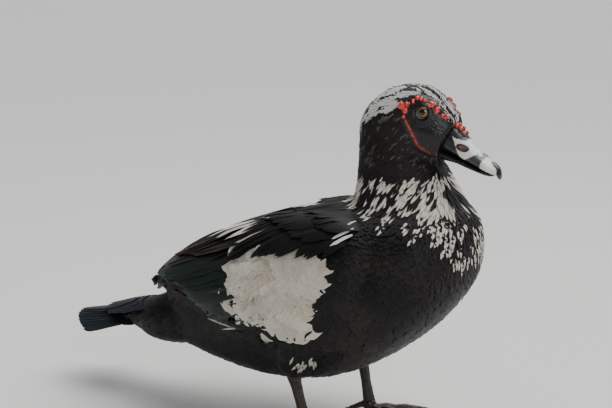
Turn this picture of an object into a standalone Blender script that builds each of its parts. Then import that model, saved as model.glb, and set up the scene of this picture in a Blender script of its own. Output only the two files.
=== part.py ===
"""A muscovy duck standing at rest, life size, made as head, bill, neck, torso, wings, tail, legs and feet.

The bird faces +X, its left side is +Y and +Z is up. Everything is in metres. The forms are modelled about
a working origin under the middle of the back, and at the end the whole bird is moved so that its soles
stand at Z = 0 and its outer box is centred on X = Y = 0.
"""

import math

import bmesh
import bpy
from mathutils import Matrix, Vector

MM = 0.001
GAP = 0.3 * MM  # clearance between neighbouring solids
RIGHT, LEFT = -1, 1
SQUARENESS = 2.25  # exponent of the superellipse that rounds the body's slices

# Slices of the torso from the tail to the breast: x, top, bottom, half width, height of the widest place.
TORSO = (
    (-0.190, 0.0900, 0.0780, 0.012, 0.084),
    (-0.182, 0.0960, 0.0720, 0.020, 0.084),
    (-0.160, 0.1100, 0.0660, 0.029, 0.087),
    (-0.135, 0.1280, 0.0600, 0.038, 0.093),
    (-0.095, 0.1530, 0.0520, 0.052, 0.101),
    (-0.045, 0.1830, 0.0465, 0.068, 0.111),
    (0.010, 0.2080, 0.0480, 0.080, 0.120),
    (0.060, 0.2270, 0.0620, 0.084, 0.133),
    (0.105, 0.2380, 0.0890, 0.077, 0.153),
    (0.138, 0.2380, 0.1170, 0.064, 0.171),
    (0.160, 0.2280, 0.1440, 0.046, 0.184),
    (0.171, 0.2130, 0.1640, 0.026, 0.189),
    (0.174, 0.2000, 0.1790, 0.010, 0.190),
)
# Slices of the neck from the shoulders up: z, nape x, throat x, half width, x of the widest place.
NECK = (
    (0.180, 0.060, 0.160, 0.056, 0.110),
    (0.210, 0.0580, 0.1680, 0.052, 0.112),
    (0.232, 0.0615, 0.1590, 0.043, 0.109),
    (0.250, 0.0630, 0.1480, 0.0355, 0.105),
    (0.268, 0.0625, 0.1370, 0.0300, 0.100),
    (0.285, 0.0630, 0.1280, 0.0265, 0.096),
    (0.300, 0.0700, 0.1180, 0.0200, 0.093),
    (0.306, 0.0800, 0.1080, 0.0100, 0.093),
)
# Slices of the head from the nape into the bill: x, crown, jaw, half width, height of the widest place.
HEAD = (
    (0.0625, 0.2940, 0.2820, 0.0060, 0.288),
    (0.0660, 0.3050, 0.2740, 0.0140, 0.290),
    (0.0750, 0.3170, 0.2660, 0.0215, 0.292),
    (0.0895, 0.3270, 0.2640, 0.0255, 0.294),
    (0.1080, 0.3330, 0.2650, 0.0265, 0.296),
    (0.1250, 0.3325, 0.2660, 0.0255, 0.298),
    (0.1390, 0.3250, 0.2670, 0.0220, 0.295),
    (0.1510, 0.3120, 0.2670, 0.0170, 0.289),
    (0.1610, 0.2990, 0.2660, 0.0138, 0.281),
    (0.1680, 0.2900, 0.2650, 0.0120, 0.276),
)
# Slices of the upper bill: x, ridge, cutting edge, half width, height of the widest place.
UPPER_BILL = (
    (0.1360, 0.3140, 0.2815, 0.0110, 0.290),
    (0.1480, 0.3050, 0.2772, 0.0120, 0.284),
    (0.1590, 0.2965, 0.2735, 0.0126, 0.279),
    (0.1680, 0.2880, 0.2700, 0.0122, 0.275),
    (0.1780, 0.2788, 0.2660, 0.0120, 0.270),
    (0.1860, 0.2732, 0.2630, 0.0122, 0.2665),
    (0.1920, 0.2688, 0.2608, 0.0108, 0.2635),
    (0.1952, 0.2660, 0.2600, 0.0075, 0.2620),
    (0.1962, 0.2640, 0.2606, 0.0030, 0.2620),
)
# Slices of the lower bill: x, upper edge, keel, half width, height of the widest place.
LOWER_BILL = (
    (0.1360, 0.2812, 0.2690, 0.0098, 0.276),
    (0.1480, 0.2769, 0.2682, 0.0106, 0.273),
    (0.1590, 0.2727, 0.2668, 0.0110, 0.270),
    (0.1700, 0.2690, 0.2636, 0.0106, 0.266),
    (0.1800, 0.2650, 0.2608, 0.0104, 0.2628),
    (0.1870, 0.2624, 0.2590, 0.0096, 0.2606),
    (0.1910, 0.2608, 0.2582, 0.0070, 0.2594),
    (0.1924, 0.2602, 0.2587, 0.0030, 0.2594),
)
# Slices of the nail, the hook over the bill's tip: x, top, bottom, half width, height of the widest place.
NAIL = (
    (0.1898, 0.2712, 0.2690, 0.0020, 0.2700),
    (0.1915, 0.2704, 0.2660, 0.0044, 0.2680),
    (0.1945, 0.2683, 0.2604, 0.0052, 0.2645),
    (0.1968, 0.2656, 0.2567, 0.0048, 0.2610),
    (0.1981, 0.2625, 0.2556, 0.0034, 0.2590),
    (0.1987, 0.2602, 0.2568, 0.0012, 0.2585),
)

EYE_X, EYE_Z = 0.1325, 0.3118
EYE_RADIUS = 6.5 * MM
EYE_DEPTH = 4.1 * MM  # from the skin in to the centre of the eyeball
LID_RADIUS, LID_THICKNESS = 6.0 * MM, 1.25 * MM

# Caruncles over the brow, from behind the eye to the bill: forward and up from the eye, and radius, in mm.
BROW_BEADS = (
    (-18.3, 4.8, 3.2),
    (-14.0, 6.3, 2.3),
    (-14.4, 1.0, 2.5),
    (-15.7, -4.2, 1.8),
    (-9.3, 9.2, 1.9),
    (-6.5, 11.7, 2.1),
    (-3.0, 10.8, 1.8),
    (0.2, 9.9, 1.8),
    (6.8, 6.6, 2.8),
    (11.2, 2.0, 2.5),
    (15.5, -2.6, 1.7),
    (19.0, -4.0, 2.0),
)
# The beaded ridge down the cheek, forward and up from the eye in mm.
CHEEK_LINE = ((-14.0, -7.6), (-10.6, -13.2), (-7.4, -18.6), (-4.9, -24.4), (-3.2, -29.2), (2.0, -33.4))
CHEEK_BEADS = 11
CHEEK_BEAD_RADIUS = 1.35 * MM
# The edge of the bare face, forward and up from the eye in mm.
MASK_EDGE = (
    (-23.5, 4.6), (-21.2, 9.4), (-15.5, 11.2), (-10.5, 13.4), (-6.0, 16.0), (-1.0, 15.0), (4.0, 13.0),
    (9.0, 11.0), (13.5, 6.8), (17.5, 2.0), (24.0, -0.4), (33.0, -4.0), (44.0, -20.0), (36.0, -46.0),
    (10.0, -41.0), (1.0, -37.4), (-5.0, -33.6), (-8.2, -28.6), (-10.4, -22.6), (-13.8, -16.6),
    (-17.6, -10.6), (-20.4, -4.6),
)
MASK_INSIDE = 9.0 * MM  # how far each half of the mask stays off the middle plane

KNOB_X, KNOB_Z, KNOB_RADIUS = 0.1605, 0.2915, 4.6 * MM
KNOB_BEADS = ((0.1568, 0.2982, 2.2), (0.1606, 0.2960, 2.0), (0.1640, 0.2926, 1.7))
NOSTRIL_X, NOSTRIL_Z = 0.1662, 0.2822
NOSTRIL_LENGTH, NOSTRIL_HEIGHT, NOSTRIL_DEPTH = 9.2 * MM, 4.6 * MM, 2.6 * MM
NOSTRIL_SLANT = 18.0  # degrees down towards the tip

# Planes that part the body: a point in the middle plane and the direction that the plane faces.
HEAD_CUT = (Vector((0.100, 0, 0.2705)), Vector((-0.02, 0, 1.0)))
NECK_CUT = (Vector((0.115, 0, 0.2255)), Vector((0.10, 0, 1.0)))
TAIL_CUT = (Vector((-0.150, 0, 0.090)), Vector((-1.0, 0, 0.10)))
BILL_CUT = (Vector((0.1510, 0, 0.2900)), Vector((1.0, 0, -0.52)))
GROUND = (Vector((0, 0, -GAP / 2)), Vector((0, 0, 1)))

# Slices of a folded wing: x, lowest and highest angle round the torso in degrees, thickness.
WING = (
    (0.104, 14.0, 34.0, 1.5 * MM),
    (0.098, 2.0, 46.0, 5.5 * MM),
    (0.080, -8.0, 57.0, 9.5 * MM),
    (0.045, -10.0, 65.0, 11.5 * MM),
    (0.000, -8.0, 71.0, 12.0 * MM),
    (-0.045, -3.0, 76.0, 13.0 * MM),
    (-0.085, 5.0, 79.0, 15.0 * MM),
    (-0.118, 17.0, 81.0, 16.5 * MM),
    (-0.140, 34.0, 82.0, 15.0 * MM),
    (-0.152, 50.0, 80.0, 10.0 * MM),
)
WING_ROOT_DEPTH = 4.0 * MM

VANE_EDGE = 0.55 * MM
FLIGHT_RIDGE = 1.25 * MM
# Share of a vane's length and of its width at each slice, for flight feathers and for coverts.
FLIGHT_OUTLINE = ((0.0, 0.55), (0.42, 0.97), (0.84, 0.88), (1.0, 0.32))
COVERT_OUTLINE = ((0.0, 0.62), (0.45, 1.0), (0.82, 0.86), (1.0, 0.34))
# Rows of feathers on a wing, from the hidden to the outermost. Each gives its count, the first and last
# feather's root and tip as x and angle, how far root and tip stand off the wing and the half width in mm,
# and the tilt in degrees.
WING_ROWS = {
    "primary": (3, ((-0.060, 24), (-0.080, 62)), ((-0.142, 42), (-0.172, 72)), (-2.2, 4.0), 8.5, 4.0),
    "secondary": (7, ((0.036, -7), (-0.040, 42)), ((-0.050, -5), (-0.146, 52)), (-2.2, 1.6), 10.5, 6.0),
    "tertial": (4, ((-0.012, 52), (-0.030, 70)), ((-0.122, 57), (-0.152, 78)), (-2.0, 2.4), 12.0, 5.0),
    "covert": (5, ((0.062, -6), (0.020, 50)), ((-0.008, -7), (-0.052, 48)), (-2.2, 2.2), 14.5, 6.0),
    "scapular": (4, ((0.060, 44), (0.020, 68)), ((-0.030, 42), (-0.075, 70)), (-1.8, 3.2), 12.5, 5.0),
}

# The tail's fan: where it leaves the rump, its slope, spread and arch, and its feathers on each side.
TAIL_ROOT = Vector((-0.166, 0, 0.088))
TAIL_SLOPE = 0.20
TAIL_LENGTH = 0.112
TAIL_HALF_WIDTH = 0.047
TAIL_ARCH = 6.5
TAIL_PAIRS = 8
TAIL_STEP = 0.9 * MM  # each feather lies this much below the one nearer the middle
# Coverts over and under the tail, on each side: reach aft, distance across, root's and tip's height over
# the fan and half width in mm, and tilt in degrees.
TAIL_COVERTS = (
    (34, 15, 0.0, 3.4, 9.5, 3.0),
    (46, 6, 0.0, 5.2, 9.5, 3.0),
    (44, 22, -11.0, -8.0, 12.0, -3.0),
    (62, 8, -11.0, -9.5, 12.0, -3.0),
)

# Legs: the hock and the joint of the toes on each side, and the way the middle toe points in degrees.
HOCK = {RIGHT: Vector((0.012, -0.044, 0.065)), LEFT: Vector((0.032, 0.050, 0.063))}
ANKLE = {RIGHT: Vector((0.026, -0.040, 0.0085)), LEFT: Vector((0.041, 0.052, 0.0085))}
FOOT_HEADING = {RIGHT: -8.0, LEFT: 6.0}
# The thigh down to the hock: forward, outward and up from the hock, and radius, in mm.
THIGH = (
    (34.0, 5.0, 60.0, 18.0),
    (27.0, 12.0, 44.0, 27.0),
    (17.0, 13.0, 27.0, 25.0),
    (8.0, 8.0, 13.0, 18.5),
    (2.0, 2.0, 3.0, 12.0),
    (0.0, 0.0, -3.0, 8.4),
)
# Toes: name, turn from the middle toe towards the body, length, radius at the root and at the tip.
TOES = (
    ("middle", 0.0, 57 * MM, 4.3 * MM, 2.6 * MM),
    ("inner", 28.0, 42 * MM, 3.9 * MM, 2.5 * MM),
    ("outer", -27.0, 53 * MM, 4.0 * MM, 2.5 * MM),
)
# The hind toe: behind the ankle, height and radius in mm.
HIND_TOE = ((2.0, 7.6, 3.4), (8.5, 5.2, 3.0), (14.0, 2.8, 2.6), (19.0, 1.5, 2.0))
TOE_SINK = 0.5 * MM  # how far the pads are flattened on the ground
WEB_THICKNESS = 1.5 * MM
CLAW_LENGTH = 9.5 * MM

COLOURS = {
    "black_plumage": ((0.018, 0.017, 0.019, 1.0), 0.55),
    "pied_plumage": ((0.16, 0.155, 0.145, 1.0), 0.65),
    "wing_plumage": ((0.030, 0.034, 0.032, 1.0), 0.45),
    "tail_plumage": ((0.022, 0.032, 0.036, 1.0), 0.40),
    "face_skin": ((0.030, 0.022, 0.022, 1.0), 0.35),
    "bill_horn": ((0.62, 0.60, 0.58, 1.0), 0.32),
    "dark_horn": ((0.020, 0.020, 0.022, 1.0), 0.30),
    "iris": ((0.30, 0.15, 0.04, 1.0), 0.08),
    "leg_skin": ((0.050, 0.036, 0.028, 1.0), 0.50),
}


def clear_scene():
    for obj in list(bpy.data.objects):
        bpy.data.objects.remove(obj)


def spline_row(rows, t):
    """The row at t on a smooth curve through the rows, where whole numbers are the rows themselves."""
    last = len(rows) - 1
    i = max(0, min(int(t), last - 1))
    f = t - i
    before, here, after, beyond = (rows[max(0, min(last, i + k))] for k in (-1, 0, 1, 2))
    return [
        0.5 * (2 * b + (c - a) * f + (2 * a - 5 * b + 4 * c - d) * f * f + (3 * b - a - 3 * c + d) * f**3)
        for a, b, c, d in zip(before, here, after, beyond)
    ]


def place_of(rows, position):
    """The t at which the rows' first column reaches a position."""
    low, high = 0.0, len(rows) - 1.0
    rising = rows[-1][0] > rows[0][0]
    for _ in range(40):
        middle = (low + high) / 2
        if (spline_row(rows, middle)[0] < position) == rising:
            low = middle
        else:
            high = middle
    return (low + high) / 2


def slice_point(rows, t, angle):
    """A point on a slice: along, outwards and up, at an angle that is 0 at the side and 90 degrees on top."""
    along, top, bottom, half_width, waist = spline_row(rows, t)
    c, s = math.cos(angle), math.sin(angle)
    across = half_width * math.copysign(abs(c) ** (2 / SQUARENESS), c)
    reach = (top - waist) if s > 0 else (waist - bottom)
    return along, across, waist + reach * math.copysign(abs(s) ** (2 / SQUARENESS), s)


def flank(side, x, degrees, lift):
    """A point over the torso's skin, at a place along it, an angle round it and a height off it."""

    def skin(place, angle):
        px, py, pz = slice_point(TORSO, place, angle)
        return Vector((px, py * side, pz))

    t, angle, step = place_of(TORSO, x), math.radians(degrees), 1e-3
    here = skin(t, angle)
    normal = (skin(t, angle + step) - here).cross(skin(t + step, angle) - here)
    return here + normal.normalized() * (lift * side)


def new_object(name, mesh):
    obj = bpy.data.objects.new(name, mesh)
    bpy.context.scene.collection.objects.link(obj)
    return obj


def object_from(name, bm):
    """Ends a bmesh as an object whose faces point out."""
    bmesh.ops.recalc_face_normals(bm, faces=bm.faces)
    mesh = bpy.data.meshes.new(name)
    bm.to_mesh(mesh)
    bm.free()
    return new_object(name, mesh)


def loft(name, rings):
    """A closed solid through rings of equally many points, each end closed by a fan to its middle."""
    bm = bmesh.new()
    loops = [[bm.verts.new(p) for p in ring] for ring in rings]
    count = len(loops[0])
    for near, far in zip(loops, loops[1:]):
        for k in range(count):
            bm.faces.new((near[k], near[(k + 1) % count], far[(k + 1) % count], far[k]))
    for loop in (loops[0], loops[-1]):
        pole = bm.verts.new(sum((v.co for v in loop), Vector()) / count)
        for k in range(count):
            bm.faces.new((loop[k], loop[(k + 1) % count], pole))
    return object_from(name, bm)


def body_form(name, rows, slices, around, upright=False):
    """Lofts a form from its table of slices, which run along X, or up Z where it is upright."""
    rings = []
    for i in range(slices + 1):
        ring = []
        for k in range(around):
            along, across, high = slice_point(rows, i * (len(rows) - 1) / slices, 2 * math.pi * k / around)
            ring.append(Vector((high, across, along) if upright else (along, across, high)))
        rings.append(ring)
    return loft(name, rings)


def ball(name, centre, radii, detail=2, slant=0.0):
    """An ellipsoid, tipped forwards by the slant in degrees."""
    bm = bmesh.new()
    bmesh.ops.create_icosphere(bm, subdivisions=detail, radius=1)
    bmesh.ops.scale(bm, vec=radii, verts=bm.verts)
    bmesh.ops.rotate(bm, matrix=Matrix.Rotation(math.radians(slant), 3, "Y"), verts=bm.verts)
    bmesh.ops.translate(bm, vec=centre, verts=bm.verts)
    return object_from(name, bm)


def ring_of(name, centre, radius, thickness, turn_to):
    """A torus that faces a direction."""
    bpy.ops.mesh.primitive_torus_add(
        major_radius=radius, minor_radius=thickness, major_segments=16, minor_segments=6, location=(0, 0, 0)
    )
    obj = bpy.context.object
    obj.name = name
    obj.data.transform(turn_to.to_track_quat("Z", "Y").to_matrix().to_4x4())
    obj.data.transform(obj.matrix_world.Translation(centre))
    return obj


def tube(name, points, radii, roundness=2):
    """A round tapering limb along a curve, as a mesh with its caps welded."""
    curve = bpy.data.curves.new(name, "CURVE")
    curve.dimensions = "3D"
    curve.bevel_depth = 1.0
    curve.bevel_resolution = roundness
    curve.use_fill_caps = True
    spline = curve.splines.new("POLY")
    spline.points.add(len(points) - 1)
    for point, place, radius in zip(spline.points, points, radii):
        point.co = (*place, 1)
        point.radius = radius
    return mesh_from_curve(new_object(name, curve))


def sheet(name, outline, thickness):
    """A flat plate of an outline in X and Y, its middle at Z = 0."""
    curve = bpy.data.curves.new(name, "CURVE")
    curve.dimensions = "2D"
    curve.fill_mode = "BOTH"
    curve.extrude = thickness / 2
    spline = curve.splines.new("POLY")
    spline.points.add(len(outline) - 1)
    spline.use_cyclic_u = True
    for point, (x, y) in zip(spline.points, outline):
        point.co = (x, y, 0, 1)
    return mesh_from_curve(new_object(name, curve))


def mesh_from_curve(obj):
    name = obj.name
    mesh = evaluated_mesh(obj)
    bm = bmesh.new()
    bm.from_mesh(mesh)
    bmesh.ops.remove_doubles(bm, verts=bm.verts, dist=1e-6)
    bpy.data.objects.remove(obj)
    return object_from(name, bm)


def evaluated_mesh(obj):
    bpy.context.view_layer.update()
    graph = bpy.context.evaluated_depsgraph_get()
    return bpy.data.meshes.new_from_object(obj.evaluated_get(graph))


def combine(base, pieces, operation, solver="EXACT"):
    """Joins a collection of pieces to the base, or cuts them from it, and removes them."""
    group = bpy.data.collections.new("pieces")
    for piece in pieces:
        group.objects.link(piece)
    modifier = base.modifiers.new(operation, "BOOLEAN")
    modifier.operation = operation
    modifier.operand_type = "COLLECTION"
    modifier.collection = group
    modifier.solver = solver
    mesh = evaluated_mesh(base)
    base.modifiers.clear()
    base.data = mesh
    for piece in pieces:
        bpy.data.objects.remove(piece)
    bpy.data.collections.remove(group)
    return base


def copy_of(obj, name):
    return new_object(name, obj.data.copy())


def swollen(obj, gap=GAP * 1.25):
    """A copy of a solid grown along its normals, to cut its neighbour a little clear of it."""
    cutter = copy_of(obj, obj.name + "_cutter")
    bm = bmesh.new()
    bm.from_mesh(cutter.data)
    bm.normal_update()
    moved = [v.co + v.normal * gap for v in bm.verts]
    for vert, place in zip(bm.verts, moved):
        vert.co = place
    bm.to_mesh(cutter.data)
    bm.free()
    return cutter


def shells_of(bm):
    """The groups of joined faces in a mesh, largest volume first."""
    groups, left = [], set(bm.faces)
    while left:
        stack, group = [left.pop()], []
        while stack:
            face = stack.pop()
            group.append(face)
            for edge in face.edges:
                for other in edge.link_faces:
                    if other in left:
                        left.remove(other)
                        stack.append(other)
        groups.append(group)

    def volume(group):
        return sum(
            f.verts[0].co.dot(f.verts[k].co.cross(f.verts[k + 1].co)) / 6
            for f in group
            for k in range(1, len(f.verts) - 1)
        )

    return sorted(groups, key=volume, reverse=True)


def keep_largest(obj):
    bm = bmesh.new()
    bm.from_mesh(obj.data)
    for group in shells_of(bm)[1:]:
        bmesh.ops.delete(bm, geom=group, context="FACES")
    bm.to_mesh(obj.data)
    bm.free()
    return obj


def half_space(name, cut, behind):
    """A large block on one side of a plane, set back from it by half the gap."""
    point, facing = cut
    facing = facing.normalized() * (-1 if behind else 1)
    size = 0.6
    bm = bmesh.new()
    bmesh.ops.create_cube(bm, size=size)
    bmesh.ops.rotate(bm, matrix=facing.to_track_quat("Z", "Y").to_matrix(), verts=bm.verts)
    bmesh.ops.translate(bm, vec=point + facing * (size / 2 - GAP / 2), verts=bm.verts)
    return object_from(name, bm)


def finish(obj, colour, smooth=True):
    """Gives a node its material and shading."""
    keep_largest(obj)
    material = bpy.data.materials.get(colour)
    if material is None:
        material = bpy.data.materials.new(colour)
        material.use_nodes = True
        shader = material.node_tree.nodes["Principled BSDF"]
        shader.inputs["Base Color"].default_value = COLOURS[colour][0]
        shader.inputs["Roughness"].default_value = COLOURS[colour][1]
    obj.data.materials.clear()
    obj.data.materials.append(material)
    if smooth:
        obj.data.shade_smooth()
        obj.data.set_sharp_from_angle(angle=math.radians(40))
    return obj


def skin_y(rows, x, z):
    """Half the width of a form that is sliced along X, at a place on its side."""
    _, top, bottom, half_width, waist = spline_row(rows, place_of(rows, x))
    reach = (top - waist) if z > waist else (waist - bottom)
    share = min(1.0, abs(z - waist) / reach)
    return half_width * (1 - share**SQUARENESS) ** (1 / SQUARENESS)


def on_face(side, forward, up):
    """A point on the head's skin, measured forward and up from the eye in mm."""
    x, z = EYE_X + forward * MM, EYE_Z + up * MM
    return Vector((x, side * skin_y(HEAD, x, z), z))


def along_line(points, share):
    """A point part of the way along a line through the points, measured by number of points."""
    return spline_row(points, share * (len(points) - 1))


def eye_centre(side):
    outside = on_face(side, 0, 0)
    return outside - Vector((0, side * EYE_DEPTH, 0))


def caruncles(side):
    """The beads of bare red skin over the brow and down the cheek."""
    beads = []
    for forward, up, radius in BROW_BEADS:
        radii = Vector((0.95, 0.85, 1.12)) * radius * MM
        beads.append(ball("bead", on_face(side, forward, up), radii, 2 if radius > 2.4 else 1))
    for k in range(CHEEK_BEADS):
        forward, up = along_line(CHEEK_LINE, k / (CHEEK_BEADS - 1))
        radius = CHEEK_BEAD_RADIUS * (1.0 + 0.28 * math.sin(2.4 * k))
        beads.append(ball("bead", on_face(side, forward, up), Vector((1.0, 0.8, 1.45)) * radius, 1))
    return beads


def make_head():
    """The head and the bare mask on each side, as one form that is parted along the mask's edge."""
    head = body_form("head", HEAD, 15, 22)
    extras = [body_form("neck_form", NECK, 11, 24, upright=True)]
    for side in (RIGHT, LEFT):
        extras += caruncles(side)
        facing = Vector((0.12, side, 0.10))
        outside = on_face(side, 0, 0) - facing * 0.4 * MM
        extras.append(ring_of("lid", outside, LID_RADIUS, LID_THICKNESS, facing))
    combine(head, extras, "UNION")
    cutters = [half_space("below", HEAD_CUT, True), half_space("before", BILL_CUT, False)]
    for side in (RIGHT, LEFT):
        cutters.append(ball("socket", eye_centre(side), Vector((1, 1, 1)) * (EYE_RADIUS + GAP)))
    combine(head, cutters, "DIFFERENCE")
    for side, word in ((RIGHT, "right"), (LEFT, "left")):
        mask = copy_of(head, "mask_" + word)
        combine(mask, [mask_block(side, 0.0)], "INTERSECT")
        finish(mask, "face_skin")
        combine(head, [mask_block(side, GAP)], "DIFFERENCE")
    return finish(head, "pied_plumage")


def mask_block(side, grow):
    """A block over one side of the head, of the mask's outline, that reaches in to its inner plane."""
    outline = []
    count = len(MASK_EDGE)
    for k, (forward, up) in enumerate(MASK_EDGE):
        before, after = Vector(MASK_EDGE[k - 1]), Vector(MASK_EDGE[(k + 1) % count])
        tangent = (after - before).normalized()
        outline.append((EYE_X + forward * MM - tangent.y * grow, EYE_Z + up * MM + tangent.x * grow))
    depth = 0.04
    block = sheet("mask_block", outline, depth)
    inner = MASK_INSIDE - grow
    for vert in block.data.vertices:
        x, z, y = vert.co
        vert.co = (x, side * (inner + depth / 2 + y), z)
    bm = bmesh.new()
    bm.from_mesh(block.data)
    bpy.data.objects.remove(block)
    return object_from("mask_block", bm)


def make_eyes():
    for side, word in ((RIGHT, "right"), (LEFT, "left")):
        eye = ball("eye_" + word, eye_centre(side), Vector((1, 1, 1)) * EYE_RADIUS, 2)
        finish(eye, "iris")


def make_bill():
    """The upper bill with its knob and nostrils, the lower bill under it and the nail over the tip."""
    upper = body_form("bill_upper", UPPER_BILL, 13, 18)
    knob = [ball("knob", Vector((KNOB_X, 0, KNOB_Z)), Vector((1.15, 1.25, 1.0)) * KNOB_RADIUS)]
    for x, z, radius in KNOB_BEADS:
        for side in (RIGHT, LEFT):
            place = Vector((x, side * 3.1 * MM, z))
            knob.append(ball("knob_bead", place, Vector((1, 1, 1)) * radius * MM, 1))
    combine(upper, knob, "UNION")
    pits = []
    for side in (RIGHT, LEFT):
        outside = Vector((NOSTRIL_X, side * skin_y(UPPER_BILL, NOSTRIL_X, NOSTRIL_Z), NOSTRIL_Z))
        radii = Vector((NOSTRIL_LENGTH / 2, NOSTRIL_DEPTH, NOSTRIL_HEIGHT / 2))
        pits.append(ball("nostril", outside, radii, 2, NOSTRIL_SLANT))
    combine(upper, pits + [half_space("behind", BILL_CUT, True)], "DIFFERENCE")
    lower = body_form("bill_lower", LOWER_BILL, 10, 14)
    combine(lower, [swollen(upper), half_space("behind", BILL_CUT, True)], "DIFFERENCE")
    nail = body_form("bill_nail", NAIL, 7, 12)
    combine(nail, [swollen(upper), swollen(lower)], "DIFFERENCE")
    finish(upper, "bill_horn")
    finish(lower, "dark_horn")
    finish(nail, "dark_horn")


def make_torso_and_neck():
    """The trunk and neck as one form, cut apart at the shoulders, and a copy of the form left whole."""
    whole = body_form("torso", TORSO, 20, 24)
    combine(whole, [body_form("neck_form", NECK, 11, 24, upright=True)], "UNION")
    outer = copy_of(whole, "body_form")
    neck = copy_of(whole, "neck")
    cutters = [half_space("above", HEAD_CUT, False), half_space("below", NECK_CUT, True)]
    combine(neck, cutters, "DIFFERENCE")
    cutters = [half_space("above", NECK_CUT, False), half_space("behind", TAIL_CUT, False)]
    combine(whole, cutters, "DIFFERENCE")
    finish(neck, "pied_plumage")
    finish(whole, "black_plumage")
    return outer


def wing_lift(x, degrees):
    """How far a folded wing's outer face stands off the torso's skin."""
    _, low, high, thickness = spline_row(WING, place_of(WING, x))
    across = max(-1.0, min(1.0, 2 * (degrees - low) / (high - low) - 1))
    return thickness * (1 - abs(across) ** (6 if across > 0 else 3))


def vane(name, slices, ridge):
    """One feather as a thin closed blade, split into triangles alike on both faces.

    Each slice gives the shaft's place, the way the blade faces, the way to its upper edge, its half width
    and how far its edges lie below the shaft. A ridge is the blade's thickness at a raised shaft.
    """
    bm = bmesh.new()
    loops = []
    for place, facing, across, half_width, (fall_low, fall_high) in slices:
        edge, shaft = facing * VANE_EDGE / 2, facing * ridge / 2
        low = place - across * half_width - facing * fall_low
        high = place + across * half_width - facing * fall_high
        top, under = (low + edge, high + edge), (high - edge, low - edge)
        if ridge:
            top = (top[0], place + shaft, top[1])
            under = (under[0], place - shaft, under[1])
        loops.append([bm.verts.new(p) for p in top + under])
    count, half = len(loops[0]), len(loops[0]) // 2
    for near, far in zip(loops, loops[1:]):
        for k in range(count):
            a, b = (k + 1) % count, k
            if k < half:
                a, b = b, a
            bm.faces.new((near[a], near[b], far[b]))
            bm.faces.new((near[a], far[b], far[a]))
    for loop in (loops[0], loops[-1]):
        for k in range(half - 1):
            a, b, c, d = loop[k], loop[k + 1], loop[count - 2 - k], loop[count - 1 - k]
            bm.faces.new((a, b, c))
            bm.faces.new((a, c, d))
    return object_from(name, bm)


def slices_along(points, facings, outline, half_width, tilt, camber):
    """The slices of a vane along a line of points, tilted so that each feather's edge rides on the next."""
    slices = []
    for k, (place, facing) in enumerate(zip(points, facings)):
        ahead = (points[min(k + 1, len(points) - 1)] - points[max(k - 1, 0)]).normalized()
        across = facing.cross(ahead).normalized()
        if across.z < 0:
            across = -across
        width = half_width * outline[k][1]
        lean, bow = width * math.tan(math.radians(tilt)), camber * width * width
        slices.append((place, facing, across, width, (bow - lean, bow + lean)))
    return slices


def wing_feather(side, root, tip, lifts, half_width, tilt, outline):
    """A feather that lies over a wing, from its root sunk in the wing to its tip standing just off it."""
    points, facings = [], []
    for share, _ in outline:
        x = root[0] + (tip[0] - root[0]) * share
        degrees = root[1] + (tip[1] - root[1]) * share
        off = lifts[0] + (lifts[1] - lifts[0]) * math.sqrt(share)
        lift = wing_lift(x, degrees) + off * MM
        here = flank(side, x, degrees, lift)
        points.append(here)
        facings.append((flank(side, x, degrees, lift + 2 * MM) - here).normalized())
    ridge = FLIGHT_RIDGE if outline is FLIGHT_OUTLINE else 0
    return vane("feather", slices_along(points, facings, outline, half_width, tilt, 5.0), ridge)


def wing_row(side, row):
    """A row of feathers that lie over one another like shingles."""
    count, roots, tips, lifts, half_width, tilt = WING_ROWS[row]
    outline = COVERT_OUTLINE if row in ("covert", "scapular") else FLIGHT_OUTLINE
    feathers = []
    for k in range(count):
        share = k / (count - 1)
        root = [a + (b - a) * share for a, b in zip(*roots)]
        tip = [a + (b - a) * share for a, b in zip(*tips)]
        feathers.append(wing_feather(side, root, tip, lifts, half_width * MM, tilt, outline))
    return feathers


def make_wing(side, word, body):
    """A folded wing: a smooth form that lies on the flank, and the rows of its long feathers on it."""
    slices, across = 12, 6
    rings = []
    for i in range(slices + 1):
        x, low, high, _ = spline_row(WING, i * (len(WING) - 1) / slices)
        angles = [low + (high - low) * k / across for k in range(across + 1)]
        outer = [flank(side, x, a, wing_lift(x, a)) for a in angles]
        inner = [flank(side, x, a, -WING_ROOT_DEPTH) for a in reversed(angles)]
        rings.append(outer + inner)
    wing = loft("wing_" + word, rings)
    feathers = [feather for row in WING_ROWS for feather in wing_row(side, row)]
    combine(wing, feathers, "UNION")
    combine(wing, [swollen(body)], "DIFFERENCE")
    return finish(wing, "wing_plumage")


def tail_point(aft, across, lift):
    """A point over the tail's fan, measured from its root aft, across and up off it."""
    drop = TAIL_SLOPE * aft + TAIL_ARCH * across * across
    return TAIL_ROOT + Vector((-aft, across, lift - drop))


def tail_feather(root, tip, lifts, half_width, tilt, outline):
    """A feather of the tail, its root and tip given as distances aft and across."""
    points, facings = [], []
    for share, _ in outline:
        aft = root[0] + (tip[0] - root[0]) * share
        across = root[1] + (tip[1] - root[1]) * share
        lift = lifts[0] + (lifts[1] - lifts[0]) * share
        points.append(tail_point(aft, across, lift))
        facings.append(Vector((TAIL_SLOPE, 2 * TAIL_ARCH * across, 1)).normalized())
    slices = slices_along(points, facings, outline, half_width, 0.0, 4.0)
    lean = half_width * math.tan(math.radians(tilt))
    middle = math.copysign(1, -root[1])
    tilted = []
    for place, facing, across, width, (fall, _) in slices:
        towards = across * math.copysign(1, across.y * middle)
        tilted.append((place, facing, towards, width, (fall + lean, fall - lean)))
    return vane("feather", tilted, 0)


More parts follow.
